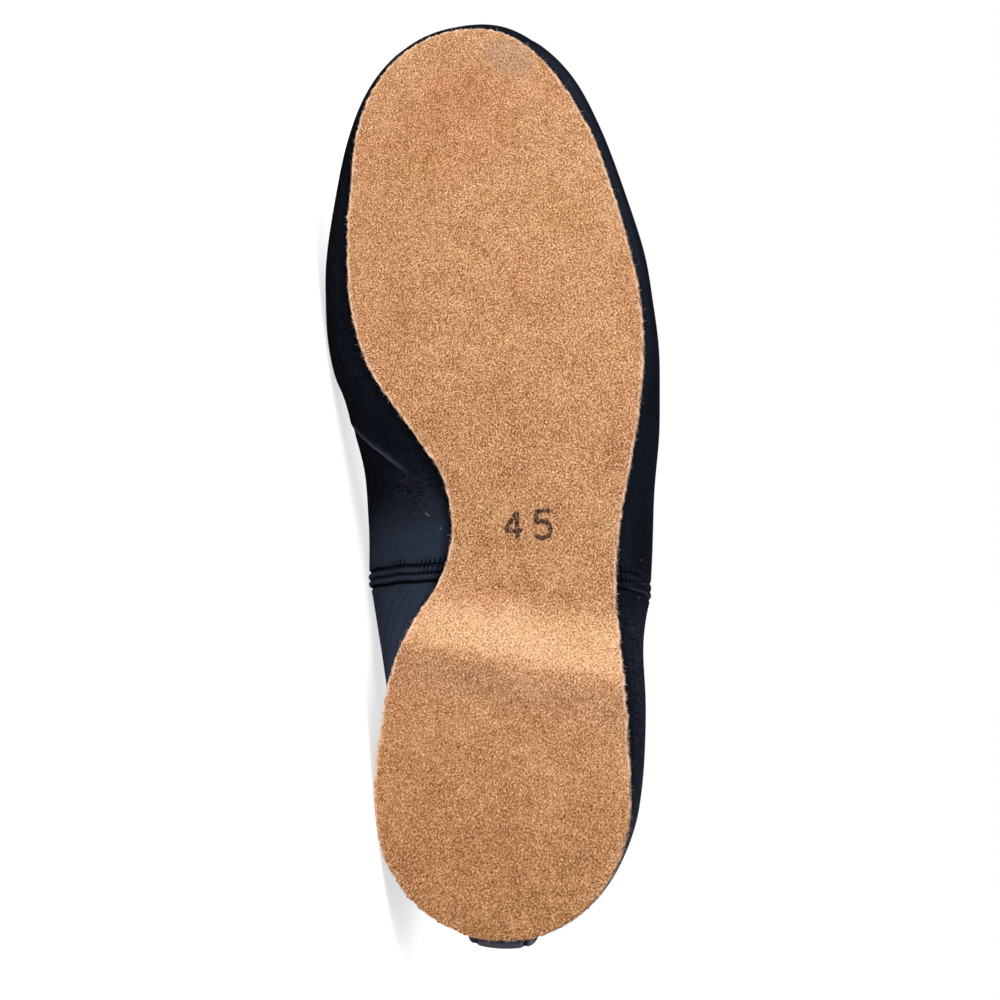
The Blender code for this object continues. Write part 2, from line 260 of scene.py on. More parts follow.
def running(path):
    """How far along a path each of its points lies."""
    return np.concatenate(([0], np.cumsum(np.linalg.norm(np.diff(path, axis=0), axis=1))))


def soft_rise(value, radius):
    """Zero below nothing and the value above it, with the corner rounded within the radius."""
    rounded = np.clip(value + radius, 0, 2 * radius) ** 2 / (4 * radius)
    return np.where(value > radius, value, rounded)


def end_arc(station, start, tip):
    """A quarter round's fall: 1 up to the start, 0 at the tip."""
    share = np.clip((station - start) / (tip - start), 0, 1)
    return np.sqrt(1 - share**2)


def round_ends(station, heel, toe, heel_reach, toe_reach):
    """The share of a half width that is left at a station: all of it along the foot, none at either tip."""
    back = np.clip((heel + heel_reach - station) / heel_reach, 0, 1)
    front = np.clip((station - toe + toe_reach) / toe_reach, 0, 1)
    return (1 - back**HEEL_POWER) ** (1 / HEEL_POWER) * (1 - front**TOE_POWER) ** (1 / TOE_POWER)


def edge_across(columns, station, side, inset, heel, toe):
    """Where an outline lies across the foot, drawn in all round by the inset. Side is -1 inner, 1 outer."""
    left = round_ends(station, heel + inset, toe - inset, HEEL_REACH - inset, TOE_REACH - inset)
    middle = along(columns, "middle", station)
    half = along(columns, "inner" if side < 0 else "outer", station) - inset - side * middle
    return middle + side * np.maximum(half, 0) * left


def sole_edge(station, side, inset=0.0):
    """Where the sole's edge lies across the foot, drawn in by an inset."""
    return edge_across(SOLE, station, side, inset, SOLE_HEEL, SOLE_TOE)


def upper_edge(station, side):
    """Where the upper is widest on a side of the foot."""
    return edge_across(UPPER, station, side, 0.0, UPPER_HEEL, UPPER_TOE)


def seat(station):
    """Height of the upper's underside."""
    return along(PROFILE, "seat", station)


def slant_share(station):
    """How much of the breast's slant a station's line across the sole takes."""
    return smooth(*SLANT_STARTS, station) * (1 - smooth(*SLANT_FADES, station))


def tread(x, y):
    """Height of the sole's underside: on the floor at the heel, up the breast, then along the upper's seat.

    The breast rises with the station whose slanted line runs through the point, found in a few steps.
    """
    station = x
    for _ in range(5):
        station = x + BREAST_SLANT * slant_share(station) * (y - BREAST_CENTRE)
    waist = seat(x) - SOLE_THICKNESS - GAP
    breast = BREAST_SLOPE * soft_rise(station - BREAST, BREAST_ROUND)
    return waist - soft_rise(waist - breast, WAIST_ROUND)


def lower_power(overhang, station):
    """The power of the upper's lower round, by how far it overhangs the feather line, narrow at the toe."""
    wide = smooth(NARROW_OVERHANG, WIDE_OVERHANG, overhang) * (1 - smooth(*TOE_NARROWS, station))
    return NARROW_POWER + (WIDE_POWER - NARROW_POWER) * wide


def upper_form(stations, side, margin_cells, lower_cells, wall_cells):
    """One side of the upper's outside: rows of points at stations, from the margin to the topline or ridge.

    The flat margin runs out to the feather line, a quarter superellipse rises from there to the fullest
    width, and a quarter ellipse leads from it towards the crown, cut short at the topline behind the throat.
    Near the heel the section leans forward above the fullest height, and is drawn in on a round below it.
    """
    station = np.asarray(stations, float)[:, None]
    heel_share = 1 - smooth(0, LEAN_REACH, station - UPPER_HEEL)
    draw_in = (SOLE_HEEL + FEATHER_INSET - UPPER_HEEL) * heel_share
    feather = sole_edge(station + draw_in, side, FEATHER_INSET)
    margin = sole_edge(station + draw_in, side, FEATHER_INSET + MARGIN)
    edge = upper_edge(station, side)
    middle = along(UPPER, "middle", station)
    fullest = along(UPPER, "fullest", station)
    depth = (fullest - seat(station)) * end_arc(station, SOLE_TOE - FEATHER_INSET, UPPER_TOE)
    height = along(UPPER, "crown", station) - fullest
    height = height * end_arc(station, UPPER_TOE - TOE_CROWN_REACH, UPPER_TOE)
    cut = (along(UPPER, "topline", station) - fullest) / np.maximum(height, 1e-6)
    top = np.where(station < THROAT, np.arcsin(np.clip(cut, 0, 1)), math.pi / 2)

    flat = np.linspace(0, 1, margin_cells, endpoint=False) * np.ones_like(station)
    lower = np.linspace(math.pi / 2, 0, lower_cells, endpoint=False)
    wall = np.linspace(0, 1, wall_cells + 1) * top
    power = 2 / lower_power(abs(edge - feather), station)
    sunk = np.concatenate((np.ones_like(flat), np.sin(lower) ** power), axis=1)
    y = np.concatenate(
        (
            margin + (feather - margin) * flat,
            feather + (edge - feather) * np.clip(np.cos(lower), 0, 1) ** power,
            middle + (edge - middle) * np.clip(np.cos(wall), 0, 1),
        ),
        axis=1,
    )
    rise = np.concatenate((-depth * sunk, height * np.sin(wall)), axis=1)
    lean = LEAN * (height * np.sin(wall) / LEAN_RISE) ** 2 * heel_share
    x = station + np.concatenate((draw_in * (1 - np.sqrt(1 - sunk**2)), lean), axis=1)
    return np.stack((x, y, fullest + rise), axis=-1)


def girth_of(rows, feather_column):
    """How far each point lies up its row from the feather line."""
    steps = np.linalg.norm(np.diff(rows, axis=1), axis=-1)
    run = np.concatenate((np.zeros((len(rows), 1)), np.cumsum(steps, axis=1)), axis=1)
    return run - run[:, feather_column : feather_column + 1]


def outward(rows, side):
    """Unit normals of one side of the upper, from the slopes along and across its rows."""
    return unit(side * np.cross(np.gradient(rows, axis=1), np.gradient(rows, axis=0)))


def rounded_path(path):
    """A path with its corners cut twice, each time at a quarter of the way along its runs."""
    path = np.array(path, float)
    for _ in range(2):
        near = 0.75 * path[:-1] + 0.25 * path[1:]
        far = 0.25 * path[:-1] + 0.75 * path[1:]
        between = np.stack((near, far), axis=1).reshape(-1, path.shape[1])
        path = np.concatenate((path[:1], between, path[-1:]))
    return path


def crease(station, girth, path, width, depth, lift):
    """A soft trough along a path, with a ridge on the path's left, both faded out towards its ends.

    Across the path each is a bell: the trough on the path, the ridge one and a half widths to its left.
    Gives the relief, and how near each point is to the ridge's crest.
    """
    path = rounded_path(path)
    steps = np.diff(path, axis=0)
    lengths = np.linalg.norm(steps, axis=1)
    begun = running(path)[:-1]
    offset = np.stack((station, girth), axis=-1)[..., None, :] - path[:-1]
    share = np.clip((offset * steps).sum(-1) / lengths**2, 0, 1)
    away = offset - share[..., None] * steps
    distance = np.linalg.norm(away, axis=-1)
    turned = steps[:, 0] * away[..., 1] - steps[:, 1] * away[..., 0]
    nearest = distance.argmin(axis=-1)[..., None]
    left = np.take_along_axis(distance * np.sign(turned), nearest, -1)[..., 0]
    reached = np.take_along_axis(begun + share * lengths, nearest, -1)[..., 0] / lengths.sum()
    fade = smooth(0, CREASE_FADE, reached) * (1 - smooth(1 - CREASE_FADE, 1, reached))
    relief = fade * (lift * bell(left, 1.5 * width, width) - depth * bell(left, 0, width))
    return relief, fade * bell(left, 1.2 * width, 0.8 * width)


def slackness(station, girth):
    """The slight unevenness of soft leather: a few shallow waves that cross one another."""
    waves = (np.sin(station / length + girth / rise + start) for length, rise, start in SLACK_WAVES)
    return SLACK_HEIGHT * sum(waves)


def waver(girth, waves):
    """Sine waves along the girth, each with a height, a length and a start, added up."""
    return sum(height * np.sin(girth / length + start) for height, length, start in waves)


def seam_station(girth, side):
    """Where the vamp's edge lies at a girth: it crosses each side at its own small slant."""
    offset, slant = SEAM_LINE[side]
    return SEAM + offset + slant * np.clip(girth, 0, SEAM_SLANTED)


def upper_relief(station, girth, side):
    """How far the upper stands out from its form, and the painted highlight on it.

    It swells towards the seam from either side, is fuller or flatter at the toe, creased and slack. It has a
    painted highlight on the crests of its higher creases.
    """
    ahead = station - seam_station(girth, side)
    height, reach = QUARTER_SWELL[side]
    vamp = SEAM_STEP * np.exp(-np.maximum(ahead, 0) / SEAM_FADE)
    quarter = height * np.exp(np.minimum(ahead, 0) / reach)
    lap = smooth(-SEAM_LAP, SEAM_LAP, ahead)
    relief = slackness(station, girth) * smooth(*SLACK_FROM_TOE, UPPER_TOE - station)
    relief = relief * smooth(*SLACK_FROM_HEEL, station)
    wear = np.zeros(np.shape(relief))
    for crease_side, path, width, depth, lift in CREASES:
        if crease_side == side:
            creased, crest = crease(station, girth, path, width, depth, lift)
            relief = relief + creased
            # Painted highlight on the crest of a higher crease.
            wear = wear + CREST_HIGHLIGHT * crest * smooth(*HIGHLIT_LIFTS, lift)
    for full_side, centre, width, height in TOE_FULLNESS:
        if full_side == side:
            relief = relief + height * bell(station, centre, width) * (1 - smooth(*TOE_FULL_FADES, girth))
    return vamp * lap + quarter * (1 - lap) + relief * smooth(*RELIEF_FROM_SOLE, girth), wear


def seam_detail(ahead, girth):
    """What the lapped seam adds to the upper's relief, at a distance ahead of the vamp's edge and a girth.

    Ridges between sewn grooves. The thread draws the leather into puckers, narrow troughs across the seam,
    one to a stitch and uneven in depth.
    """
    detail = np.zeros(np.broadcast(ahead, girth).shape)
    for place, lift, width in SEAM_RIDGES:
        wavering = 1 + RIDGE_WAVER * np.sin(girth / RIDGE_WAVE + place)
        detail = detail + lift * bell(ahead, place, width) * wavering
    for place, drop, width in SEAM_GROOVES:
        detail = detail - drop * bell(ahead, place + GROOVE_WAVER * np.sin(girth / GROOVE_WAVE), width)
    turn = 2 * math.pi * girth / PUCKER_PITCH + waver(girth, PUCKER_WANDER)
    drawn = (0.5 + 0.5 * np.cos(turn)) ** 2 * (1 + waver(girth, PUCKER_UNEVEN))
    for place, reach in PUCKERS:
        detail = detail - PUCKER_DEPTH * drawn * bell(ahead, place, reach)
    return detail


def seam_cover(ahead, below):
    """How fully the seam's own band covers the upper: 0 at its edges and just below the topline, else 1."""
    start, end = SEAM_BAND
    within = smooth(*BAND_FADE, ahead - start) * smooth(*BAND_FADE, end - ahead)
    return within * smooth(BINDING_DROP, BAND_TOP, below)


def band_tuck(ahead, below):
    """How far the band's edges are tucked into the upper, so that they don't show."""
    start, end = SEAM_BAND
    flush = smooth(0, BAND_TUCK_WIDTH, ahead - start) * smooth(0, BAND_TUCK_WIDTH, end - ahead)
    return BAND_TUCK * (1 - flush * smooth(BINDING_DROP - BAND_TUCK_UNDER, BINDING_DROP, below))


def shoe_axes():
    """The shoe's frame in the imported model: its directions as columns, and its origin."""
    mounts = {mount["name"]: mount for mount in frame["record"]["mounts"]}
    heel, ball = (np.array(mounts[name]["pos_m"]) for name in ("heel_tread", "forefoot_tread"))
    up = -np.array(mounts["heel_tread"]["axis"])
    toe = unit(ball - heel)
    return np.column_stack((toe, np.cross(up, toe), up)), heel - toe * HEEL_MOUNT * MM


AXES, ORIGIN = shoe_axes()


def in_world(points):
    """Points of the shoe's frame in millimetres, as world points in metres."""
    return ORIGIN + np.asarray(points) * MM @ AXES.T


def grid_faces(rows, columns, closed_rows=False, closed_columns=False):
    """Corner numbers of the cells of a grid whose points are numbered row by row."""
    row = np.arange(rows if closed_rows else rows - 1)[:, None]
    column = np.arange(columns if closed_columns else columns - 1)[None, :]
    next_row, next_column = (row + 1) % rows, (column + 1) % columns
    corners = (
        row * columns + column,
        next_row * columns + column,
        next_row * columns + next_column,
        row * columns + next_column,
    )
    return np.stack(corners, axis=-1).reshape(-1, 4)


def make_piece(name, grids, finishes, replaces=None, merge=0.001):
    """A smooth-shaded piece from grids, each a tuple of points, faces and values kept at its points.

    Three values place a point on its panel, in millimetres. A fourth is painted light, out of a hundred: a
    painted highlight where it is positive, painted shade in a groove where it is negative. What would reach
    through the floor is pressed flat on it.
    """
    sizes = np.cumsum([0] + [points.reshape(-1, 3).shape[0] for points, _, _ in grids])
    points = np.concatenate([points.reshape(-1, 3) for points, _, _ in grids])
    faces = np.concatenate([faces + start for (_, faces, _), start in zip(grids, sizes)])
    kept = np.zeros((len(points), 4))
    for (grid, _, values), start, end in zip(grids, sizes, sizes[1:]):
        width = np.shape(values)[-1]
        kept[start:end, :width] = np.broadcast_to(values, (*grid.shape[:-1], width)).reshape(-1, width)
    mesh = bpy.data.meshes.new(name)
    mesh.vertices.add(len(points))
    placed = in_world(points)
    placed[:, 2] = MM * soft_rise(placed[:, 2] / MM, FLOOR_PRESS)
    mesh.vertices.foreach_set("co", placed.ravel())
    mesh.loops.add(faces.size)
    mesh.loops.foreach_set("vertex_index", faces.ravel())
    mesh.polygons.add(len(faces))
    mesh.polygons.foreach_set("loop_start", np.arange(0, faces.size, 4))
    mesh.update(calc_edges=True)
    panel = np.ascontiguousarray(kept[:, :3]).ravel() / PANEL
    mesh.attributes.new("panel", "FLOAT_VECTOR", "POINT").data.foreach_set("vector", panel)
    # The fourth value is painted light: a painted highlight where positive, painted shade where negative.
    mesh.attributes.new("wear", "FLOAT", "POINT").data.foreach_set("value", kept[:, 3] / 100)
    clean = bmesh.new()
    clean.from_mesh(mesh)
    bmesh.ops.remove_doubles(clean, verts=clean.verts, dist=merge * MM)
    bmesh.ops.dissolve_degenerate(clean, edges=clean.edges, dist=merge * MM)
    clean.to_mesh(mesh)
    clean.free()
    mesh.validate()
    mesh.shade_smooth()
    piece = bpy.data.objects.new(name, mesh)
    bpy.context.scene.collection.objects.link(piece)
    for finish in finishes:
        mesh.materials.append(finish)
    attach(piece, "root")
    if replaces:
        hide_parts(replaces)
    return piece


def thicken(piece, thickness, offset, inner_finish=0):
    """Gives a sheet its thickness, behind its faces where the offset is -1, with another finish inside."""
    wall = piece.modifiers.new("Wall", "SOLIDIFY")
    wall.thickness = thickness * MM
    wall.offset = offset
    wall.use_even_offset = True
    wall.use_quality_normals = True
    wall.material_offset = inner_finish
    return piece


# The suede's nap: length and breadth of a strand in panel units, drawn out so that depth doesn't change it.
STRAND_SIZE = (0.0068, 0.0036, 1000.0)


class Value:
    """A socket of a finish. Arithmetic on it adds Math nodes, with numbers or with other sockets."""

    def __init__(self, finish, socket):
        self.finish = finish
        self.socket = socket

    def math(self, operation, *others):
        return self.finish.node("ShaderNodeMath", {"operation": operation}, (self, *others))

    def __add__(self, other):
        return self.math("ADD", other)

    def __sub__(self, other):
        return self.math("SUBTRACT", other)

    def __rsub__(self, other):
        return self.finish.node("ShaderNodeMath", {"operation": "SUBTRACT"}, (other, self))

    def __mul__(self, other):
        return self.math("MULTIPLY", other)

    __radd__ = __add__
    __rmul__ = __mul__


class Finish:
    """A material under construction, with its constant sockets set on the shader."""

    def __init__(self, name, **constants):
        self.material = bpy.data.materials.new(name)
        self.material.use_nodes = True
        self.tree = self.material.node_tree
        self.shader = self.tree.nodes["Principled BSDF"]
        self.feed(**constants)

    def node(self, kind, settings=None, sockets=(), output=0):
        """Adds a node: its settings first, then its sockets by name or number, and returns an output."""
        made = self.tree.nodes.new(kind)
        for name, value in (settings or {}).items():
            if name == "stops":
                self.set_stops(made.color_ramp, value)
            else:
                setattr(made, name, value)
        named = sockets.items() if isinstance(sockets, dict) else enumerate(sockets)
        for name, value in named:
            self.put(made.inputs[name], value)
        return Value(self, made.outputs[output])

    def set_stops(self, ramp, stops):
        while len(ramp.elements) < len(stops):
            ramp.elements.new(1)
        for element, (place, colour) in zip(ramp.elements, stops):
            element.position = place
            element.color = (*colour, 1)

    def put(self, socket, value):
        if isinstance(value, Value):
            self.tree.links.new(value.socket, socket)
        elif isinstance(value, tuple) and len(value) == 3 and socket.type == "RGBA":
            socket.default_value = (*value, 1)
        else:
            socket.default_value = value

    def feed(self, **sockets):
        """Sets or links sockets of the shader, named with _ for a space, and gives the material."""
        for socket, value in sockets.items():
            self.put(self.shader.inputs[socket.replace("_", " ")], value)
        return self.material

    def place(self):
        return self.node("ShaderNodeTexCoord", output="Object")

    def panel(self):
        """The values that the piece keeps at its points, in panel units."""
        return self.node("ShaderNodeAttribute", {"attribute_name": "panel"}, output="Vector")

    # The fourth value kept at a piece's points: painted highlight where positive, painted shade where
    # negative.
    def wear(self):
        return self.node("ShaderNodeAttribute", {"attribute_name": "wear"}, output="Fac")

    def part(self, vector, axis):
        return self.node("ShaderNodeSeparateXYZ", {}, (vector,), output=axis)

    def stretched(self, vector, scale):
        return self.node("ShaderNodeVectorMath", {"operation": "MULTIPLY"}, (vector, scale))

    def noise(self, vector, size, detail=2.0, roughness=0.5):
        """Noise whose lumps are about a size across, in the vector's own units."""
        sockets = {"Vector": vector, "Scale": 1 / size, "Detail": detail, "Roughness": roughness}
        return self.node("ShaderNodeTexNoise", {}, sockets)

    def strands(self, panel, turn):
        """Short strands that lie on the panel at a turn: noise drawn out to nearly twice its breadth."""
        settings = {"vector_type": "TEXTURE"}
        sockets = {"Vector": panel, "Rotation": (0.0, 0.0, turn), "Scale": STRAND_SIZE}
        return self.noise(self.node("ShaderNodeMapping", settings, sockets), 1.0, 2.0, 0.6)

    def cells(self, vector, size, feature="F1"):
        """Distance from the nearest cell's middle or edge, in cells about a size across."""
        sockets = {"Vector": vector, "Scale": 1 / size}
        return self.node("ShaderNodeTexVoronoi", {"feature": feature}, sockets, "Distance")

    def lines(self, panel, counts, roughness=0.5):
        """Nothing on thin wandering lines and more between them, so many to a panel unit each way."""
        noise = self.noise(self.stretched(panel, (*counts, 1.0)), 1.0, 3, roughness)
        return (noise - 0.5).math("ABSOLUTE")

    def step(self, start, end, value):
        sockets = {"Value": value, "From Min": start, "From Max": end}
        return self.node("ShaderNodeMapRange", {"interpolation_type": "SMOOTHSTEP"}, sockets)

    def run(self, start, end, value):
        """A step between two places on the panel, in millimetres."""
        return self.step(start / PANEL, end / PANEL, value)

    def blend(self, share, first, second, kind="MIX"):
        settings = {"data_type": "RGBA", "blend_type": kind}
        return self.node("ShaderNodeMix", settings, {0: share, 6: first, 7: second}, output=2)

    def ramp(self, value, stops):
        return self.node("ShaderNodeValToRGB", {"stops": stops}, (value,))

    def spot(self, vector, centre, radius):
        """A round spot on the panel: 1 at its centre, in millimetres, and 0 at its radius."""
        middle = tuple(part / PANEL for part in centre)
        far = self.node("ShaderNodeVectorMath", {"operation": "DISTANCE"}, (vector, middle), output="Value")
        return 1 - self.run(0.4 * radius, radius, far)

    def bump(self, height, strength=1.0):
        """A bump from a height in millimetres."""
        return self.node("ShaderNodeBump", {}, {"Strength": strength, "Distance": MM, "Height": height})


# Colours of the leather and the suede, with places on a ramp where there are several.
LEATHER_SHEEN = (0.44, 0.62, 1.0)
LEATHER_BLACKS = ((0.3, (0.0018, 0.0023, 0.0046)), (0.7, (0.0028, 0.0035, 0.0068)))
# The first colour on the next line is a painted reflection, a lighter blue-grey on the inner quarter and
# arch.
LEATHER_REFLECTION, LEATHER_GRAIN = (0.022, 0.031, 0.054), (0.045, 0.052, 0.075)
# The first colour on the next line is painted glints on the outer quarter's pebble tops.
LEATHER_PEBBLE_GLINTS, LEATHER_WRINKLES = (0.048, 0.047, 0.076), (0.036, 0.034, 0.056)
# The first colour on the next line is painted shade, a dull black for grooves and close to the sole.
LEATHER_PAINTED_SHADE, DUST_GREY = (0.0008, 0.0008, 0.0014), (0.25, 0.25, 0.26)
# Painted highlights: on the upper's crests and seam ridges, and on the heel strip's middle.
UPPER_HIGHLIGHT_COLOUR, STRIP_HIGHLIGHT_COLOUR = (0.060, 0.064, 0.085), (0.06, 0.056, 0.072)
SUEDE_SHEEN = {"Sheen_Weight": 0.15, "Sheen_Roughness": 0.5, "Sheen_Tint": (1.0, 0.8, 0.6)}
SUEDE_NAP = (
    (0.31, (0.11, 0.036, 0.009)),
    (0.45, (0.350, 0.156, 0.060)),
    (0.55, (0.545, 0.290, 0.146)),
    (0.69, (0.90, 0.575, 0.36)),
)
SUEDE_RUDDY, SUEDE_SALLOW = (0.86, 0.66, 0.58), (0.90, 0.92, 0.70)
SUEDE_RIM, SUEDE_GREYED = (0.82, 0.60, 0.47), (0.30, 0.25, 0.22)
SUEDE_MARKED, SUEDE_NICKED = (0.05, 0.03, 0.02), (0.95, 0.88, 0.8)

# Specks of dust on the leather: station, girth and mark of the side, and their size.
DUST = (
    (127.4, 10.6, -SIDE_MARK),
    (126.8, 9.8, -SIDE_MARK),
    (122.4, 5.7, -SIDE_MARK),
    (112.5, 11.3, SIDE_MARK),
    (101.2, 11.0, SIDE_MARK),
    (91.8, 9.0, SIDE_MARK),
)
DUST_SIZE = 0.4


def leather(name, grain, highlight_colour):
    """Black leather with a low sheen: pores, long creases behind the seam, wrinkles at the arch and dust.

    It turns to the highlight colour where a painted highlight lies on crests, and to a dull black of painted
    shade in grooves and close to the sole. The inner quarter and arch carry a painted reflection, and the
    outer quarter's pebble tops painted glints.
    """
    finish = Finish(name, Specular_IOR_Level=0.24, Specular_Tint=LEATHER_SHEEN)
    place, panel = finish.place(), finish.panel()
    station, girth, side = (finish.part(panel, axis) for axis in range(3))
    inner = finish.run(1, -1, side)
    quarter = 1 - finish.run(SEAM - 3, SEAM, station)
    outer_quarter = (1 - inner) * (1 - finish.run(90, 102, station))
    arch = finish.spot(panel, (133.5, 13, -SIDE_MARK), 11)
    # Painted shade close to the sole, where the leather turns in under its edge.
    sole_shade = 1 - finish.run(2, 6.5, girth)

    broad = finish.noise(place, 14 * MM, 3)
    fine = finish.noise(place, 0.45 * MM, 3)
    pores = finish.step(0.0, 0.16, finish.cells(place, 0.8 * MM, "DISTANCE_TO_EDGE"))
    pebbles = finish.cells(place, 0.75 * MM)
    drawn = finish.lines(panel, (9.0, 75.0))
    crinkled = finish.lines(panel, (95.0, 24.0), 0.6)
    creases = finish.step(0.0, 0.06, drawn) * inner * quarter * 0.17
    wrinkles = finish.step(0.0, 0.1, crinkled) * arch * 0.22
    height = (pores + fine) * (grain * 0.03) + creases + wrinkles - outer_quarter * pebbles * 0.14

    # Painted reflection: the inner quarter and arch are lightened towards a pale blue-grey.
    reflection_reach = (1 - finish.run(118, 138, station)) * 0.6 + (1 - finish.run(80, 100, station)) * 0.5
    wear_and_painted_light = inner * (quarter * 0.2 + reflection_reach)
    with_reflection = finish.blend(wear_and_painted_light, finish.ramp(broad, LEATHER_BLACKS), LEATHER_REFLECTION)
    speckled = finish.step(0.44, 0.66, finish.noise(place, 0.9 * MM, 3, 0.6))
    grained = finish.blend(speckled * (0.11 + wear_and_painted_light * 0.13), with_reflection, LEATHER_GRAIN)
    # Painted glints on the tops of the outer quarter's pebbles.
    pebble_glints = outer_quarter * (1 - finish.step(0.2, 0.55, pebbles))
    glinting = finish.blend(pebble_glints * 0.75, grained, LEATHER_PEBBLE_GLINTS)
    wrinkle_lines = arch * (1 - finish.step(0.0, 0.09, crinkled))
    crinkly = finish.blend(wrinkle_lines * 0.4, glinting, LEATHER_WRINKLES)
    wear = finish.wear()
    # Painted highlight where the kept painted light is positive; painted shade in grooves where it is
    # negative, and close to the sole.
    lightened = finish.blend(finish.step(0.0, 1.0, wear), crinkly, highlight_colour)
    sunk = finish.step(0.0, -1.0, wear)
    tone = finish.blend((sunk + sole_shade * 0.9).math("MINIMUM", 1.0), lightened, LEATHER_PAINTED_SHADE)
    lint = 1 - finish.step(0.03, 0.06, finish.cells(place, 4.5 * MM))
    tone = finish.blend(lint * finish.step(0.5, 0.65, broad) * 0.2, tone, DUST_GREY)
    for speck in DUST:
        tone = finish.blend(finish.spot(panel, speck, DUST_SIZE) * 0.5, tone, DUST_GREY)
    dulled = broad * 0.16 + fine * 0.1 + quarter * 0.04 + sole_shade * 0.3 + sunk * 0.3
    return finish.feed(Base_Color=tone, Roughness=0.36 + dulled, Normal=finish.bump(height))


def suede():
    """Tan suede: a speckled nap, ruddy and sallow patches, pale cut edges, a breast lighter from rubbing and
    painted light, marks of use.
    """
    finish = Finish("sole_suede", Roughness=0.95, Specular_IOR_Level=0.12, **SUEDE_SHEEN)
    place, panel = finish.place(), finish.panel()
    station, across, edge = (finish.part(panel, axis) for axis in range(3))
    slanted = station + across * BREAST_SLANT
    heel = 1 - finish.run(60, 95, slanted)
    # The breast's lighter band: rubbed nap and painted light.
    lightened = finish.run(BREAST, 85, slanted) * (1 - finish.run(92, 105, slanted))
    worn_lip = finish.run(62, 74, slanted) * (1 - finish.run(77, 81, slanted))
    shaded = 1 - finish.run(5, 70, station)
    cut = (1 - finish.run(0.2, 1.1, edge)) * finish.run(10, 60, station)

    fibres = finish.strands(panel, 0.7).math("MAXIMUM", finish.strands(panel, -0.8))
    nap = (fibres - 0.55) * (1.7 - heel * 0.36) + 0.5
    clump = finish.noise(place, 1.9 * MM, 2)
    cloud = finish.noise(place, 11 * MM, 2)
    patch = finish.noise(place, 26 * MM, 3, 0.6)

    # Painted light: the breast lighter, painted shade towards the heel, and lighter towards the outer side.
    lighter = lightened * 0.10 - worn_lip * 0.012 - shaded * 0.036 + across * 0.03 + (cloud - 0.5) * 0.1
    tan = finish.ramp(nap + (clump - 0.5) * 0.19 + lighter, SUEDE_NAP)
    warmed = finish.step(0.48, 0.66, patch) * 0.30 + finish.spot(panel, (255, -17, 28), 36) * 0.3
    ruddy = finish.blend(warmed, tan, SUEDE_RUDDY, "MULTIPLY")
    yellowed = (1 - finish.step(0.34, 0.52, patch)) * 0.38
    sallow = finish.blend(yellowed, ruddy, SUEDE_SALLOW, "MULTIPLY")
    rim = finish.blend(cut * (0.25 + finish.step(0.35, 0.6, clump) * 0.5), sallow, SUEDE_RIM)
    grey = finish.spot(panel, (278.5, 2.7, 8), 13) * finish.step(0.3, 0.6, nap) * 0.4
    smudged = finish.blend(grey + worn_lip * 0.08, rim, SUEDE_GREYED)
    dots = finish.spot(panel, (210.5, 14.3, 20), 1.2) + finish.spot(panel, (126, -3.5, 12), 0.9)
    marked = finish.blend(dots * 0.8, smudged, SUEDE_MARKED)
    nicked = finish.blend(finish.spot(panel, (27.1, 25, 9), 1.1), marked, SUEDE_NICKED)
    return finish.feed(Base_Color=nicked, Normal=finish.bump(nap * 0.16 + clump * 0.1, 0.8))


def fuzz_finish():
    """Loose fibres of the suede's cut edge: pale tan, no two quite alike."""
    finish = Finish("suede_fuzz", Roughness=0.9, Specular_IOR_Level=0.15)
    shade = finish.noise(finish.place(), 0.9 * MM, 1)
    return finish.feed(Base_Color=finish.ramp(shade, ((0.3, (0.50, 0.31, 0.19)), (0.7, (0.84, 0.63, 0.47)))))


def ink():
    """Stamping ink in the nap: dark brown, worn through where the fibres stand up."""
    finish = Finish("stamp_ink", Roughness=0.8, Specular_IOR_Level=0.15)
    place = finish.place()
    wear_and_painted_light = finish.noise(place, 0.7 * MM, 2)
    colour = finish.ramp(wear_and_painted_light, ((0.35, (0.035, 0.019, 0.015)), (0.65, (0.11, 0.06, 0.045))))
    return finish.feed(Base_Color=colour, Alpha=finish.step(0.68, 0.42, wear_and_painted_light) * 0.6 + 0.3)


def heel_finish():
    """Matt black heel block: a fine moulded grain with faint scuffs."""
    finish = Finish("heel_block", Specular_IOR_Level=0.35)
    place = finish.place()
    grain = finish.noise(place, 0.4 * MM, 3)
    scuff = finish.noise(place, 6 * MM, 4)
    tone = finish.ramp(scuff, ((0.4, (0.008, 0.008, 0.010)), (0.75, (0.02, 0.019, 0.02))))
    return finish.feed(Base_Color=tone, Roughness=0.5 + scuff * 0.25, Normal=finish.bump(grain * 0.08))


# How fast the lining's ribs follow one another, as radians to a panel unit.
RIB_TURNS = 620.0


def lining():
    """Dark woven lining: two crossed sets of fine ribs with a little unevenness."""
    finish = Finish("shoe_lining", Specular_IOR_Level=0.2, Sheen_Weight=0.15)
    panel = finish.panel()
    rib = (finish.part(panel, 0) * RIB_TURNS).math("SINE") * (finish.part(panel, 1) * RIB_TURNS).math("SINE")
    uneven = finish.noise(finish.place(), 3 * MM, 3)
    tone = finish.ramp(rib * 0.25 + uneven, ((0.3, (0.020, 0.019, 0.020)), (0.8, (0.052, 0.049, 0.050))))
    woven = finish.bump(rib * 0.05 + uneven * 0.1)
    return finish.feed(Base_Color=tone, Roughness=0.75 + uneven * 0.2, Normal=woven)


def thread():
    """Black waxed thread with a faint twist."""
    finish = Finish("black_thread", Specular_IOR_Level=0.4)
    twist = finish.noise(finish.place(), 0.25 * MM, 1)
    tone = finish.ramp(twist, ((0.3, (0.006, 0.006, 0.009)), (0.7, (0.022, 0.022, 0.028))))
    return finish.feed(Base_Color=tone, Roughness=0.5 + twist * 0.2, Normal=finish.bump(twist * 0.05))


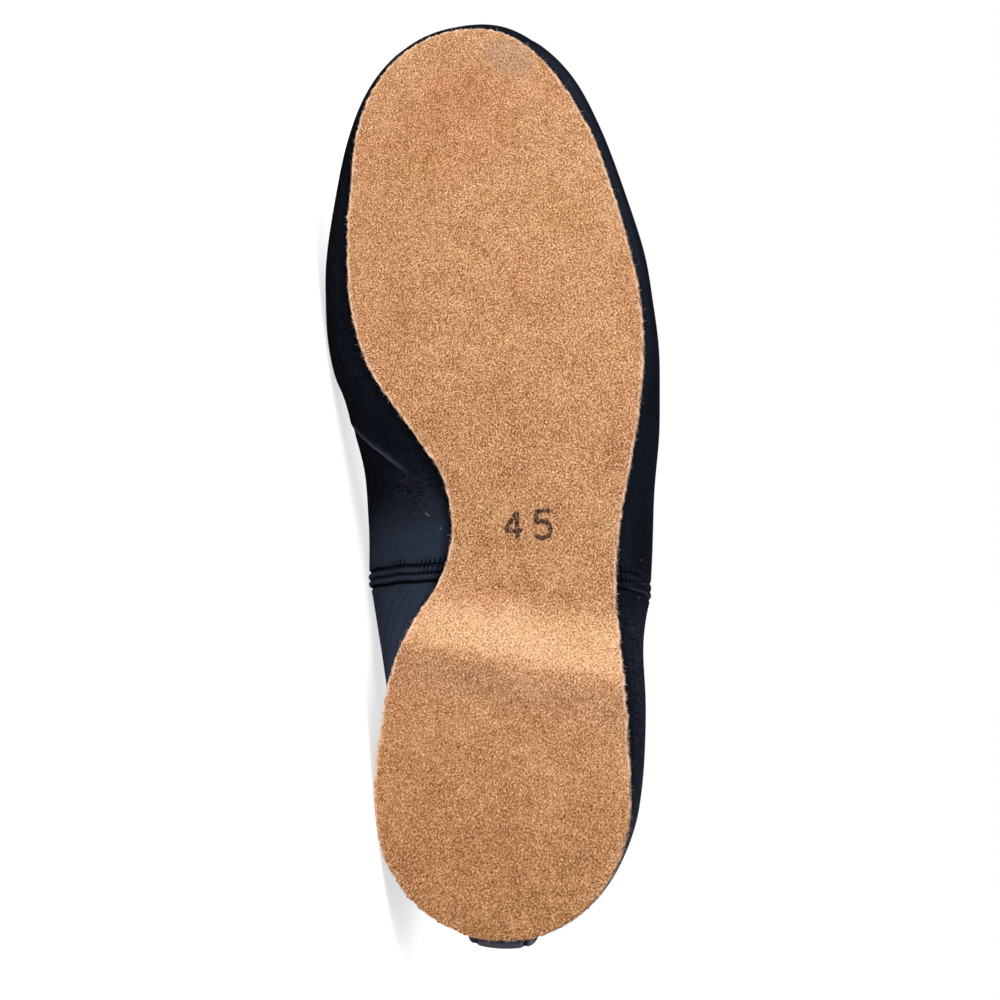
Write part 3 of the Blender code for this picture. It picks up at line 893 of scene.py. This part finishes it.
# The floor: where it fades from, how far off it starts to fade and is gone, and its size and grid.
FLOOR_MIDDLE, FLOOR_FADES = (0.0, -0.25, 0.0), (0.34, 0.85)
FLOOR_RADIUS, FLOOR_RINGS, FLOOR_SIDES = 1.2, 30, 96


def pale_floor():
    """A matt white floor that thins out into the white of the room within a metre of the shoe."""
    finish = Finish("pale_floor", Specular_IOR_Level=0.1)
    place = finish.place()
    cloud = finish.noise(place, 0.25, 2)
    tone = finish.ramp(cloud, ((0.3, (0.90, 0.90, 0.90)), (0.7, (0.94, 0.94, 0.94))))
    distance = {"operation": "DISTANCE"}
    far = finish.node("ShaderNodeVectorMath", distance, (place, FLOOR_MIDDLE), output="Value")
    left = 1 - finish.step(*FLOOR_FADES, far)
    return finish.feed(Base_Color=tone, Roughness=0.7 + cloud * 0.1, Alpha=left)


# The upper's grid: rows round the heel and toe, runs of rows between them, and cells up each side.
HEEL_ROWS, TOE_ROWS = 34, 38
FOOT_RUNS = ((UPPER_HEEL + HEEL_REACH, 98.0, 36), (98.0, 172.0, 92), (172.0, UPPER_TOE - TOE_REACH, 50))
MARGIN_CELLS, LOWER_CELLS, WALL_CELLS = 4, 42, 44

# How far rows keep from the throat's lip, and how far the upper is sunk under the seam's band.
LIP_CLEAR = 0.4
BAND_SUNK = 0.9


def upper_stations():
    """Stations even round heel and toe, closest from the seam to the fold, with two at the throat's lip."""
    heel = np.linspace(0, math.pi / 2, HEEL_ROWS, endpoint=False)
    toe = np.linspace(0, math.pi / 2, TOE_ROWS)
    foot = np.concatenate([np.linspace(*run, endpoint=False) for run in FOOT_RUNS])
    lip = np.array((THROAT - THROAT_LIP, THROAT))
    foot = foot[(foot < lip[0] - LIP_CLEAR) | (foot > lip[1] + LIP_CLEAR)]
    heel = UPPER_HEEL + HEEL_REACH * (1 - np.cos(heel))
    toe = UPPER_TOE - TOE_REACH * (1 - np.sin(toe))
    return np.sort(np.concatenate((heel, foot, lip, toe)))


def upper_sides(stations):
    """Both sides of the dressed upper: rows of points and values kept at them, joined at ridge and tips."""
    rows, kept = {}, {}
    for side in SIDES:
        form = upper_form(stations, side, MARGIN_CELLS, LOWER_CELLS, WALL_CELLS)
        girth = girth_of(form, MARGIN_CELLS)
        station = np.broadcast_to(stations[:, None], girth.shape)
        relief, wear = upper_relief(station, girth, side)
        ahead = station - seam_station(girth, side)
        relief = relief - BAND_SUNK * seam_cover(ahead, girth[:, -1:] - girth)
        rows[side] = form + outward(form, side) * relief[..., None]
        # The fourth value is the painted highlight on crease crests.
        kept[side] = np.stack((station, girth, np.full_like(girth, SIDE_MARK * side), 100 * wear), axis=-1)
    closed = stations >= THROAT
    for meeting in (np.s_[closed, -1], np.s_[0, :], np.s_[-1, :]):
        shared = (rows[-1][meeting] + rows[1][meeting]) / 2
        rows[-1][meeting] = rows[1][meeting] = shared
    return rows, kept


def make_upper(rows, kept, finishes):
    """The upper: both sides' grids, joined where they meet, with the wall's thickness inside them."""
    grids = []
    for side in SIDES:
        faces = grid_faces(*rows[side].shape[:2])
        grids.append((rows[side], faces if side < 0 else faces[:, ::-1], kept[side]))
    upper = make_piece("upper_leather", grids, finishes, "upper")
    return thicken(upper, WALL, -1, inner_finish=1)


# The seam's band: its grid, where it stops under the binding, its thickness, and its painted highlight where
# it stands out and painted shade where it sinks in, by how far.
BAND_ROWS, BAND_MARGIN, BAND_LOWER, BAND_WALL = 77, 2, 150, 120
BAND_STOPS, BAND_THICKNESS = 1.6, 0.45
BAND_HIGHLIGHT, HIGHLIGHT_RISE, GROOVE_SHADE_DROP = {-1: 0.45, 1: 0.1}, (0.15, 0.6), (0.02, 0.4)


def band_form(stations, side):
    """The upper's form on the band's own grid."""
    return upper_form(stations, side, BAND_MARGIN, BAND_LOWER, BAND_WALL)


def seam_band(ahead, side):
    """Rows of the band at distances ahead of the vamp's edge: points, normals and values kept at them."""
    girth = girth_of(band_form(SEAM + ahead + SEAM_LINE[side][0], side), BAND_MARGIN)
    station = ahead[:, None] + seam_station(girth, side)
    form = slid_form(station, side)
    normal = outward(form, side)
    below = girth[:, -1:] - girth
    relief, wear = upper_relief(station, girth, side)
    detail = seam_detail(ahead[:, None], girth) * seam_cover(ahead[:, None], below)
    points = form + normal * (relief + detail - band_tuck(ahead[:, None], below))[..., None]
    # Painted highlight on the seam's ridges, stronger on the inner side, and painted shade in its grooves
    # and puckers.
    lightened = BAND_HIGHLIGHT[side] * smooth(*HIGHLIGHT_RISE, detail)
    wear = 100 * (np.maximum(wear, lightened) - smooth(*GROOVE_SHADE_DROP, -detail))
    kept = np.stack(np.broadcast_arrays(station, girth, SIDE_MARK * side, wear), axis=-1)
    used = np.s_[:, BAND_MARGIN : np.count_nonzero(below.min(axis=0) > BINDING_DROP - BAND_STOPS)]
    return points[used], normal[used], kept[used]


def slid_form(station, side):
    """The upper's form where each column of the band has its own stations, mixed from evenly spaced rows."""
    even = np.linspace(station.min(), station.max(), 2 * len(station) + 20)
    form = band_form(even, side)
    place = (station - even[0]) / (even[1] - even[0])
    low = np.clip(place.astype(int), 0, len(even) - 2)
    share = (place - low)[..., None]
    column = np.arange(station.shape[1])
    return form[low, column] * (1 - share) + form[low + 1, column] * share


def make_vamp_edge(finish):
    """The vamp's lapped edge over the quarter: a fine band of the upper's form, the seam worked in it."""
    ahead = np.linspace(*SEAM_BAND, BAND_ROWS)
    grids = []
    for side in SIDES:
        rows, _, kept = seam_band(ahead, side)
        grids.append((rows, grid_faces(*rows.shape[:2])[:, ::-side], kept))
    return thicken(make_piece("vamp_edge", grids, [finish]), BAND_THICKNESS, -1)


def spread(values, run, places):
    """Values known along a running length, at other places along it."""
    return np.stack([np.interp(places, run, values[:, axis]) for axis in range(values.shape[1])], axis=1)


def square_to(tangent, vectors):
    """Unit vectors with what runs along the tangents taken out of them."""
    return unit(vectors - (vectors * tangent).sum(axis=1, keepdims=True) * tangent)


# A stitch's rings and sides, the reach over which its direction is read, and where a seam's row starts.
STITCH_RINGS, STITCH_SIDES = 7, 6
STITCH_READ, SEAM_READ, SEAM_STITCH_STARTS = 0.2, 0.3, 4


def stitch_grid(path, normals, pitch, length, radius):
    """Stitches along a path: each a short spindle that rises out of the leather and dips back into it.

    Along a stitch its share runs from -1 to 1, its radius is that of a blunt spindle, and its axis follows a
    shallow arch over the surface.
    """
    run = running(path)
    places = np.arange(pitch / 2, run[-1], pitch)
    centre = spread(path, run, places)
    tangent = unit(spread(path, run, places + STITCH_READ) - spread(path, run, places - STITCH_READ))
    normal = square_to(tangent, spread(normals, run, places))
    binormal = np.cross(tangent, normal)
    centre, tangent, normal, binormal = (part[:, None, None] for part in (centre, tangent, normal, binormal))
    share = np.linspace(-1, 1, STITCH_RINGS)[:, None, None]
    turn = np.linspace(0, 2 * math.pi, STITCH_SIDES, endpoint=False)[:, None]
    girth = radius * np.sqrt(np.clip(1 - share**4, 0, 1))
    rise = radius * (0.55 - 1.1 * share**2)
    middle = centre + tangent * share * length / 2 + normal * rise
    points = middle + (normal * np.cos(turn) + binormal * np.sin(turn)) * girth
    one = grid_faces(STITCH_RINGS, STITCH_SIDES, closed_columns=True)
    starts = STITCH_RINGS * STITCH_SIDES * np.arange(len(places))
    faces = (one + starts[:, None, None]).reshape(-1, 4)
    return points, faces[:, ::-1], NO_PANEL


def make_seam_stitches(finish):
    """A row of stitches in each sewn groove, on both sides of the shoe."""
    grids = []
    for side in SIDES:
        for place, _, _ in SEAM_GROOVES[1:]:
            rows, normal, _ = seam_band(np.array((place - SEAM_READ, place, place + SEAM_READ)), side)
            used = np.s_[1, SEAM_STITCH_STARTS:]
            grids.append(stitch_grid(rows[used], normal[used], *SEAM_STITCH))
    return make_piece("seam_stitches", grids, [finish])


def topline_loop(rows, stations):
    """The opening's edge, once round from the throat: points, outward normals and the way up the wall."""
    behind = np.flatnonzero(stations < THROAT)
    lip = behind[-1:] + 1

    def once_round(values):
        inner, outer = values
        return np.concatenate((inner[lip], inner[behind[::-1]], outer[behind[1:]]))

    loop = once_round([rows[side][:, -1] for side in SIDES])
    normal = once_round([outward(rows[side], side)[:, -2] for side in SIDES])
    rise = once_round([rows[side][:, -1] - rows[side][:, -4] for side in SIDES])
    rise[0] = (-1, 0, 0)
    return loop, normal, rise


# How many times what is read round the topline is eased over its neighbours.
EASINGS = 14


def closed_resample(values, run):
    """Values at even steps round a closed path of a given running length, then eased over neighbours."""
    places = np.linspace(0, run[-1], BINDING_STEPS, endpoint=False)
    even = spread(np.concatenate((values, values[:1])), run, places)
    for _ in range(EASINGS):
        even = (np.roll(even, 1, axis=0) + 2 * even + np.roll(even, -1, axis=0)) / 4
    return even


def binding_frames(rows, stations):
    """Even points round the topline, with directions out of the wall and up it, square to the path."""
    loop, normal, rise = topline_loop(rows, stations)
    run = running(np.concatenate((loop, loop[:1])))
    path = closed_resample(loop, run)
    tangent = unit(np.roll(path, -1, axis=0) - np.roll(path, 1, axis=0))
    normal = square_to(tangent, closed_resample(unit(normal), run))
    up = np.cross(tangent, normal)
    towards = closed_resample(unit(rise), run)
    return path, normal, up * np.sign((up * towards).sum(axis=1, keepdims=True))


def make_binding(frames, finish):
    """The bound topline: a profile up the outside, over the edge on a half round and down the inside."""
    path, normal, up = frames
    half = WALL / 2 + BINDING_LIFT
    turn = np.linspace(0, math.pi, BINDING_OVER)
    leg = np.linspace(-BINDING_DROP, -BINDING_SHOULDER, BINDING_LEG)
    face = np.full(BINDING_LEG, half)
    hem = [-BINDING_DROP - BINDING_HEM]
    out = np.concatenate(([-WALL / 2], face, half * np.cos(turn), -face, [-WALL / 2]))
    lift = np.concatenate((hem, leg, half * np.sin(turn), leg[::-1], hem))
    groove = BINDING_GROOVE * bell(lift, -BINDING_SEAM, BINDING_GROOVE_WIDTH) * np.sign(out)
    out = out - groove - WALL / 2
    points = path[:, None] + normal[:, None] * out[:, None] + up[:, None] * lift[:, None]
    faces = grid_faces(len(path), len(out), closed_rows=True)[:, ::-1]
    return make_piece("topline_binding", [(points, faces, BINDING_PANEL)], [finish])


def make_binding_stitches(frames, finish):
    """One row of stitches round the binding's groove."""
    path, normal, up = frames
    row = path + normal * (BINDING_LIFT - BINDING_STITCH_SUNK) - up * BINDING_SEAM
    row, normal = np.concatenate((row, row[:1])), np.concatenate((normal, normal[:1]))
    grid = stitch_grid(row, normal, *EDGE_STITCH)
    return make_piece("topline_stitches", [grid], [finish])


# The heel strip: its span round the back seam, how square its edges and ends are, its grid, with the columns
# up its lower round that the sole covers, and its half width and first girth on its panel.
STRIP_SPAN = (math.radians(-16.5), math.radians(13.9))
STRIP_EDGE_POWER, STRIP_END_POWER = 9, 40
STRIP_ROWS, STRIP_LOWER, STRIP_WALL, STRIP_COVERED = 121, 30, 50, 7
STRIP_HALF_WIDTH, STRIP_GIRTH = 10.0, 20.0

# Its sewn grooves, placed and as wide as shares of its half width, and their depth. It has a painted
# highlight between two girths, strongest in the middle, out to these shares of its half width.
STRIP_GROOVES, STRIP_GROOVE_WIDTH, STRIP_GROOVE_DEPTH = (-0.74, 0.66), 0.06, 0.6
STRIP_HIGHLIGHT_FROM, STRIP_HIGHLIGHT_TO = (0.3, 2.6), (4.0, 16.0)
STRIP_HIGHLIGHT_MIDDLE, STRIP_EDGE_HIGHLIGHT = (0.55, 0.75), 0.25


def strip_form(turns):
    """The heel strip's base on the upper: rows at turns round the back seam, columns up from the sole."""
    rows = []
    for turn in turns:
        station = UPPER_HEEL + HEEL_REACH * (1 - np.cos(turn))
        form = upper_form([station], -1 if turn < 0 else 1, 1, STRIP_LOWER, STRIP_WALL)
        rows.append(form[0, STRIP_COVERED:])
    return np.array(rows)


def make_heel_strip(finish, thread_finish):
    """The strip over the back seam: a raised band with rounded edges and a sewn groove near each."""
    turns = np.linspace(-1, 1, STRIP_ROWS)
    rows = strip_form(np.interp(turns, (-1, 1), STRIP_SPAN))
    normal = -unit(np.cross(np.gradient(rows, axis=0), np.gradient(rows, axis=1)))
    share = np.linspace(-1, 1, rows.shape[1])
    crown = np.sqrt(1 - abs(turns) ** STRIP_EDGE_POWER)[:, None] * np.sqrt(1 - abs(share) ** STRIP_END_POWER)
    sewn = sum(bell(turns, turn, STRIP_GROOVE_WIDTH) for turn in STRIP_GROOVES)[:, None]
    lift = (GAP + STRIP_THICKNESS) * crown - STRIP_GROOVE_DEPTH * sewn
    points = rows + normal * lift[..., None]
    girth = girth_of(rows, 0)
    # Painted highlight on the strip's middle and painted shade in its sewn grooves.
    middle = 1 - (1 - STRIP_EDGE_HIGHLIGHT) * smooth(*STRIP_HIGHLIGHT_MIDDLE, abs(turns))[:, None]
    wear_and_painted_light = smooth(*STRIP_HIGHLIGHT_FROM, girth) * (1 - smooth(*STRIP_HIGHLIGHT_TO, girth)) * crown * middle
    kept = (STRIP_HALF_WIDTH * turns[:, None], girth + STRIP_GIRTH, 0.0, 100 * wear_and_painted_light - 200 * sewn)
    grid = (points, grid_faces(*girth.shape), np.stack(np.broadcast_arrays(*kept), axis=-1))
    strip = make_piece("heel_strip", [grid], [finish], "back_strip")
    grids = []
    for turn in STRIP_GROOVES:
        row = np.argmin(abs(turns - turn))
        grids.append(stitch_grid(points[row, 2:-3], normal[row, 2:-3], *EDGE_STITCH))
    make_piece("heel_strip_stitches", grids, [thread_finish])
    return strip


# The sole's grid: points on each side of its outline, insets of its rings from the edge, and shares of the
# way on to its middle line. Then a fixed start for chance, how ragged the edge is and how far in, and how
# round edges are.
OUTLINE_POINTS = 1000
RING_INSETS = (0.0, 0.12, 0.3, 0.6, 1.0, 1.6, 2.6, 4.2)
SPINE_SHARES = np.linspace(0.15, 1, 7)
EDGE_SEED, EDGE_RAGGED, RAGGED_REACH = 3, 0.18, 1.6
SOLE_ROUND, INSOLE_ROUND = 0.5, 0.6


def outline_ring(inset, ragged=0.0):
    """The sole's outline drawn in by an inset, once round: heel tip, inner side, toe tip, outer side.

    A ragged outline is moved in and out by chance from point to point, less so with the inset.
    """
    share = (1 - np.cos(np.linspace(0, math.pi, OUTLINE_POINTS))) / 2
    x = SOLE_HEEL + inset + share * (SOLE_TOE - SOLE_HEEL - 2 * inset)
    inner = np.stack((x, sole_edge(x, -1, inset)), axis=1)[:-1]
    outer = np.stack((x, sole_edge(x, 1, inset)), axis=1)[::-1][:-1]
    ring = np.concatenate((inner, outer))
    chance = np.random.default_rng(EDGE_SEED).normal(0, 1, (2, len(ring)))
    coarse = np.convolve(np.tile(chance[0], 3), np.hanning(9), "same")[len(ring) : 2 * len(ring)] / 2
    moved = ragged * (0.6 * chance[1] + coarse) * (1 - smooth(0, RAGGED_REACH, inset))
    forward = unit(np.roll(ring, -2, axis=0) - np.roll(ring, 2, axis=0))
    return ring + np.stack((forward[:, 1], -forward[:, 0]), axis=1) * moved[:, None]


def spine_of(ring):
    """For each point of an outline, the point of the sole's middle line that it draws in to."""
    x = np.clip(ring[:, 0], SOLE_HEEL + HEEL_REACH, SOLE_TOE - TOE_REACH)
    return np.stack((x, (sole_edge(x, -1) + sole_edge(x, 1)) / 2), axis=1)


def ring_sheet(first_inset, ragged=0.0):
    """Rings from the edge to the middle line, as plan points, with how far each lies from the edge."""
    rings = [outline_ring(first_inset + inset, ragged) for inset in RING_INSETS]
    last = rings[-1]
    moves = [(spine_of(last) - last) * share for share in SPINE_SHARES]
    away = [np.full(len(last), inset) for inset in RING_INSETS]
    away += [RING_INSETS[-1] + np.linalg.norm(move, axis=1) for move in moves]
    return np.array(rings + [last + move for move in moves]), np.array(away)


def ring_slab(name, first_inset, heights, edge_round, finish, replaces, ragged=0.0):
    """A closed slab in the sole's outline: rings over the underside, up the edge and over the top."""
    bottom, top = heights
    plan, away = ring_sheet(first_inset, ragged)
    x, y = plan[..., 0], plan[..., 1]
    rounded = edge_round - np.sqrt(np.maximum(edge_round**2 - np.maximum(edge_round - away, 0) ** 2, 0))
    low = np.stack((x, y, bottom(x, y) + rounded), axis=-1)
    high = np.stack((x, y, top(x, y) - rounded), axis=-1)
    points = np.concatenate((low[::-1], high))
    kept = np.concatenate((np.stack((x, y, away), axis=-1)[::-1], np.stack((x, y, 0 * away), axis=-1)))
    faces = grid_faces(*points.shape[:2], closed_columns=True)
    return make_piece(name, [(points, faces, kept)], [finish], replaces)


def make_sole(finish):
    """The sole: a slab of even thickness over the tread's height, with a ragged cut edge."""

    def top(x, y):
        return tread(x, y) + SOLE_THICKNESS

    heights = (tread, top)
    return ring_slab("suede_sole", 0.0, heights, SOLE_ROUND, finish, "outsole", EDGE_RAGGED)


def make_insole(finish):
    """The sock lining: a slab of even thickness on the lasting margin."""

    def bottom(x, y):
        return seat(x) + WALL + GAP

    def top(x, y):
        return bottom(x, y) + INSOLE_THICKNESS

    heights = (bottom, top)
    return ring_slab("sock_lining", INSOLE_INSET, heights, INSOLE_ROUND, finish, "insole")


# The heel block's grid: lines across it from the tip, and cells along each.
HEEL_LINES, HEEL_CELLS = 90, 12


def make_heel(finish):
    """The heel block: lines across it follow the breast's slant, from the heel's tip to the thin front."""
    fall = 1 - np.cos(np.linspace(0, math.pi / 2, HEEL_LINES))
    station = (SOLE_HEEL + HEEL_INSET + (HEEL_END - SOLE_HEEL - HEEL_INSET) * fall / fall[-1])[:, None]

    def slanted(y):
        return station - BREAST_SLANT * slant_share(station) * (y - BREAST_CENTRE)

    def end(side):
        y = sole_edge(station, side, HEEL_INSET)
        for _ in range(6):
            y = sole_edge(slanted(y), side, HEEL_INSET)
        return y

    inner, outer = end(-1), end(1)
    y = inner + (outer - inner) * np.linspace(0, 1, HEEL_CELLS + 1)
    x = slanted(y)
    low = np.stack((x, y, tread(x, y) + SOLE_THICKNESS + GAP), axis=-1)
    high = np.stack((x, y, np.maximum(seat(x) - GAP, low[..., 2])), axis=-1)
    points = np.concatenate((low, high[:, ::-1]), axis=1)
    faces = grid_faces(*points.shape[:2], closed_columns=True)
    return make_piece("heel_block", [(points, faces, points)], [finish], "heel")


# Loose fibres along the suede's cut edge: how many, usual length and width, and a fixed start for chance.
# Then how far in, astray and high they are rooted, how they swing, drop and bend, and how lengths spread.
FIBRES, FIBRE_LENGTH, FIBRE_WIDTH, FIBRE_SEED = 11000, 0.4, 0.08, 7
FIBRE_INSET, FIBRE_ASTRAY, FIBRE_ROOTS = 0.15, (-0.4, 0.4), (0.05, 1.6)
FIBRE_SWING, FIBRE_DROP, FIBRE_BEND, FIBRE_SPREAD = 0.75, (-0.9, 0.25), 0.3, (3.0, 0.33)


def make_fuzz(finish):
    """Fibres rooted at random in the sole's edge: narrow ribbons that lean out, bend and taper."""
    chance = np.random.default_rng(FIBRE_SEED)
    ring = outline_ring(FIBRE_INSET)
    forward = np.roll(ring, -1, axis=0) - np.roll(ring, 1, axis=0)
    run = np.cumsum(np.linalg.norm(np.diff(ring, axis=0, append=ring[:1]), axis=1))
    place = np.searchsorted(run, chance.uniform(0, run[-1], FIBRES)) % len(ring)
    tangent = unit(forward[place])
    out = np.stack((tangent[:, 1], -tangent[:, 0]), axis=1)
    base = ring[place] + tangent * chance.uniform(*FIBRE_ASTRAY, (FIBRES, 1))
    height = tread(base[:, 0], base[:, 1]) + chance.uniform(*FIBRE_ROOTS, FIBRES)
    root = np.column_stack((base, height))
    swing = chance.normal(0, FIBRE_SWING, FIBRES)[:, None]
    drop = chance.uniform(*FIBRE_DROP, FIBRES)
    lean = unit(np.column_stack((out + tangent * swing, drop)))
    length = FIBRE_LENGTH * chance.gamma(*FIBRE_SPREAD, FIBRES)[:, None]
    bend = chance.normal(0, FIBRE_BEND, (FIBRES, 3)) * length
    middle = root + lean * length * 0.55
    tip = root + lean * length + bend
    width = FIBRE_WIDTH * unit(np.cross(lean, chance.normal(0, 1, (FIBRES, 3))))
    sides = [root - width / 2, root + width / 2, middle + width * 0.4, middle - width * 0.4]
    sides += [tip + width * 0.1, tip - width * 0.1]
    points = np.stack(sides, axis=1)
    pair = np.array(((0, 1, 2, 3), (3, 2, 4, 5)))
    faces = (pair + len(sides) * np.arange(FIBRES)[:, None, None]).reshape(-1, 4)
    grid = (points, faces, NO_PANEL)
    return make_piece("edge_fuzz", [grid], [finish], merge=0.0001)


# The plain size number stamped at the waist: strokes of each figure in its own box, then its place and size.
FIGURES = {
    "4": (((0.72, 0.0), (0.72, 1.0)), ((0.72, 1.0), (0.02, 0.32)), ((0.02, 0.3), (1.0, 0.3))),
    "5": (
        ((0.92, 1.0), (0.14, 1.0)),
        ((0.16, 1.0), (0.12, 0.55)),
        ((0.12, 0.56), (0.45, 0.66), (0.85, 0.56), (0.97, 0.3), (0.8, 0.05), (0.42, -0.02), (0.04, 0.12)),
    ),
}
STAMP_TEXT, STAMP_STATION, STAMP_ACROSS = "45", 118.0, 0.6
STAMP_TALL, STAMP_WIDE, STAMP_PITCH, STAMP_STROKE, STAMP_LIFT = 8.0, 5.2, 8.8, 1.4, 0.07


def make_stamp(finish):
    """Each stroke is a ribbon about its path, laid on the tread's height so that it follows the waist."""
    grids = []
    for number, figure in enumerate(STAMP_TEXT):
        for stroke in FIGURES[figure]:
            path = rounded_path(stroke)
            share = np.linspace(0, len(path) - 1, 40)
            line = spread(path, np.arange(len(path)), share)
            y = STAMP_ACROSS + number * STAMP_PITCH + line[:, 0] * STAMP_WIDE
            x = STAMP_STATION + line[:, 1] * STAMP_TALL
            line = np.stack((x, y), axis=1)
            ahead = unit(np.gradient(line, axis=0))
            aside = np.stack((ahead[:, 1], -ahead[:, 0]), axis=1)
            width = np.linspace(-0.5, 0.5, 5) * STAMP_STROKE
            plan = line[:, None] + aside[:, None] * width[:, None]
            level = tread(plan[..., 0], plan[..., 1]) - STAMP_LIFT
            points = np.concatenate((plan, level[..., None]), axis=-1)
            grids.append((points, grid_faces(*level.shape), NO_PANEL))
    return make_piece("size_mark", grids, [finish])


# The camera: what it looks at on the tread plane, how far off it is, and how it is turned from square on.
LOOK_AT = (128.4, 0.0, 0.0)
CAMERA_DISTANCE = 370.0
CAMERA_TURN, CAMERA_TILT = math.radians(13), math.radians(7)
LENS, SENSOR = 45.0, 36.0


def set_up(thing, place, turned):
    """Puts a camera or a lamp in the scene at a place, its own directions turned to these columns."""
    thing.matrix_world = Matrix.Translation(place) @ Matrix(turned.tolist()).to_4x4()
    bpy.context.scene.collection.objects.link(thing)


def make_camera():
    """A camera on the sole's side of the shoe, rolled so that the toe is at the top of the picture."""
    ahead = np.array(
        (
            math.sin(CAMERA_TURN) * math.cos(CAMERA_TILT),
            -math.sin(CAMERA_TILT),
            math.cos(CAMERA_TURN) * math.cos(CAMERA_TILT),
        )
    )
    toe = np.array((1.0, 0.0, 0.0))
    above = unit(toe - ahead * (toe @ ahead))
    turned = AXES @ np.column_stack((np.cross(ahead, above), above, -ahead))
    data = bpy.data.cameras.new("camera")
    data.lens, data.sensor_width = LENS, SENSOR
    data.clip_start, data.clip_end = 0.01, 100.0
    camera = bpy.data.objects.new("camera", data)
    set_up(camera, in_world(np.array(LOOK_AT) - ahead * CAMERA_DISTANCE), turned)
    bpy.context.scene.camera = camera


# Lamps: place and aim in metres, size, watts, colour, and what the lamp is for.
LAMPS = {
    "toe_softbox": ((-0.42, -0.56, 0.50), (0.0, -0.03, 0.05), 0.6, 6.05, (1.0, 0.97, 0.93), "all"),
    "heel_fill": ((0.40, -0.95, 0.35), (0.02, -0.03, 0.05), 1.0, 2.1, (0.95, 0.98, 1.0), "all"),
    "heel_back": ((0.75, 0.50, 0.35), (0.0, 0.0, 0.05), 0.4, 3.5, (0.78, 0.82, 1.0), "leather"),
    "shoulder_sheen": ((-0.34, -0.36, 0.80), (0.0, 0.0, 0.05), 0.45, 2.2, (0.85, 0.9, 1.0), "leather"),
    "back_fill": ((0.0, 0.9, 0.6), (0.0, 0.0, 0.05), 1.0, 5.0, (1.0, 1.0, 1.0), "matt"),
    "floor_wash": ((0.3, -0.3, 1.4), (0.2, -0.2, 0.0), 1.4, 5.0, (1.0, 1.0, 1.0), "floor"),
    "floor_glow": ((0.0, 0.0, 1.4), (0.0, 0.0, 0.0), 1.4, 23.0, (1.0, 1.0, 1.0), "unshaded floor"),
}
ROOM_LIGHT, ROOM_SEEN = 0.02, 1.0


def make_lamps(floor, leather_pieces):
    """Square soft lamps. One for floor or leather lights nothing else, and a matt one gives no gleam.

    One for the unshaded floor also shines through the shoe, so that its shadow stays pale.
    """
    floor_only, leather_only = (bpy.data.collections.new(name) for name in ("floor_only", "leather_only"))
    floor_only.objects.link(floor)
    for piece in leather_pieces:
        leather_only.objects.link(piece)
    for name, (place, aim, size, watts, colour, lit) in LAMPS.items():
        data = bpy.data.lights.new(name, "AREA")
        data.size, data.energy, data.color = size, watts, colour
        lamp = bpy.data.objects.new(name, data)
        back = unit(np.array(place) - np.array(aim))
        side = unit(np.cross((0.0, 1.0, 0.0) if "floor" in lit else (0.0, 0.0, 1.0), back))
        set_up(lamp, place, np.column_stack((side, np.cross(back, side), back)))
        lamp.visible_glossy = lit != "matt"
        if "floor" in lit:
            lamp.light_linking.receiver_collection = floor_only
        if lit == "leather":
            lamp.light_linking.receiver_collection = leather_only
        if lit == "unshaded floor":
            lamp.light_linking.blocker_collection = floor_only


def make_room():
    """A white room: seen as white by the camera, and dimmer as light so that the lamps give the form."""
    world = bpy.data.worlds.new("white_room")
    world.use_nodes = True
    nodes, links = world.node_tree.nodes, world.node_tree.links
    background = nodes["Background"]
    path = nodes.new("ShaderNodeLightPath")
    strength = nodes.new("ShaderNodeMapRange")
    strength.inputs["To Min"].default_value = ROOM_LIGHT
    strength.inputs["To Max"].default_value = ROOM_SEEN
    links.new(path.outputs["Is Camera Ray"], strength.inputs["Value"])
    links.new(strength.outputs["Result"], background.inputs["Strength"])
    background.inputs["Color"].default_value = (1.0, 1.0, 1.0, 1.0)
    bpy.context.scene.world = world


def make_floor(finish):
    """A wide round floor under the shoe: rings about the origin. It doesn't gleam back from the leather."""
    radius = np.linspace(0, FLOOR_RADIUS, FLOOR_RINGS)[:, None]
    turn = np.linspace(0, 2 * math.pi, FLOOR_SIDES, endpoint=False)
    points = np.stack((radius * np.cos(turn), radius * np.sin(turn), 0 * radius * turn), axis=-1)
    mesh = bpy.data.meshes.new("floor")
    faces = grid_faces(*points.shape[:2], closed_columns=True)
    mesh.from_pydata(points.reshape(-1, 3).tolist(), [], faces.tolist())
    mesh.materials.append(finish)
    floor = bpy.data.objects.new("floor", mesh)
    floor.visible_glossy = False
    bpy.context.scene.collection.objects.link(floor)
    return floor


soft_leather = leather("upper_leather", 1.0, UPPER_HIGHLIGHT_COLOUR)
inside = lining()
sewing = thread()
stations = upper_stations()
rows, kept = upper_sides(stations)
frames = binding_frames(rows, stations)
leather_pieces = [
    make_upper(rows, kept, [soft_leather, inside]),
    make_vamp_edge(soft_leather),
    make_seam_stitches(sewing),
    make_binding(frames, soft_leather),
    make_binding_stitches(frames, sewing),
    make_heel_strip(leather("strip_leather", 1.2, STRIP_HIGHLIGHT_COLOUR), sewing),
]
make_sole(suede())
make_fuzz(fuzz_finish())
make_stamp(ink())
make_heel(heel_finish())
make_insole(inside)

make_room()
make_lamps(make_floor(pale_floor()), leather_pieces)
make_camera()
bpy.context.scene.view_settings.view_transform = "Standard"
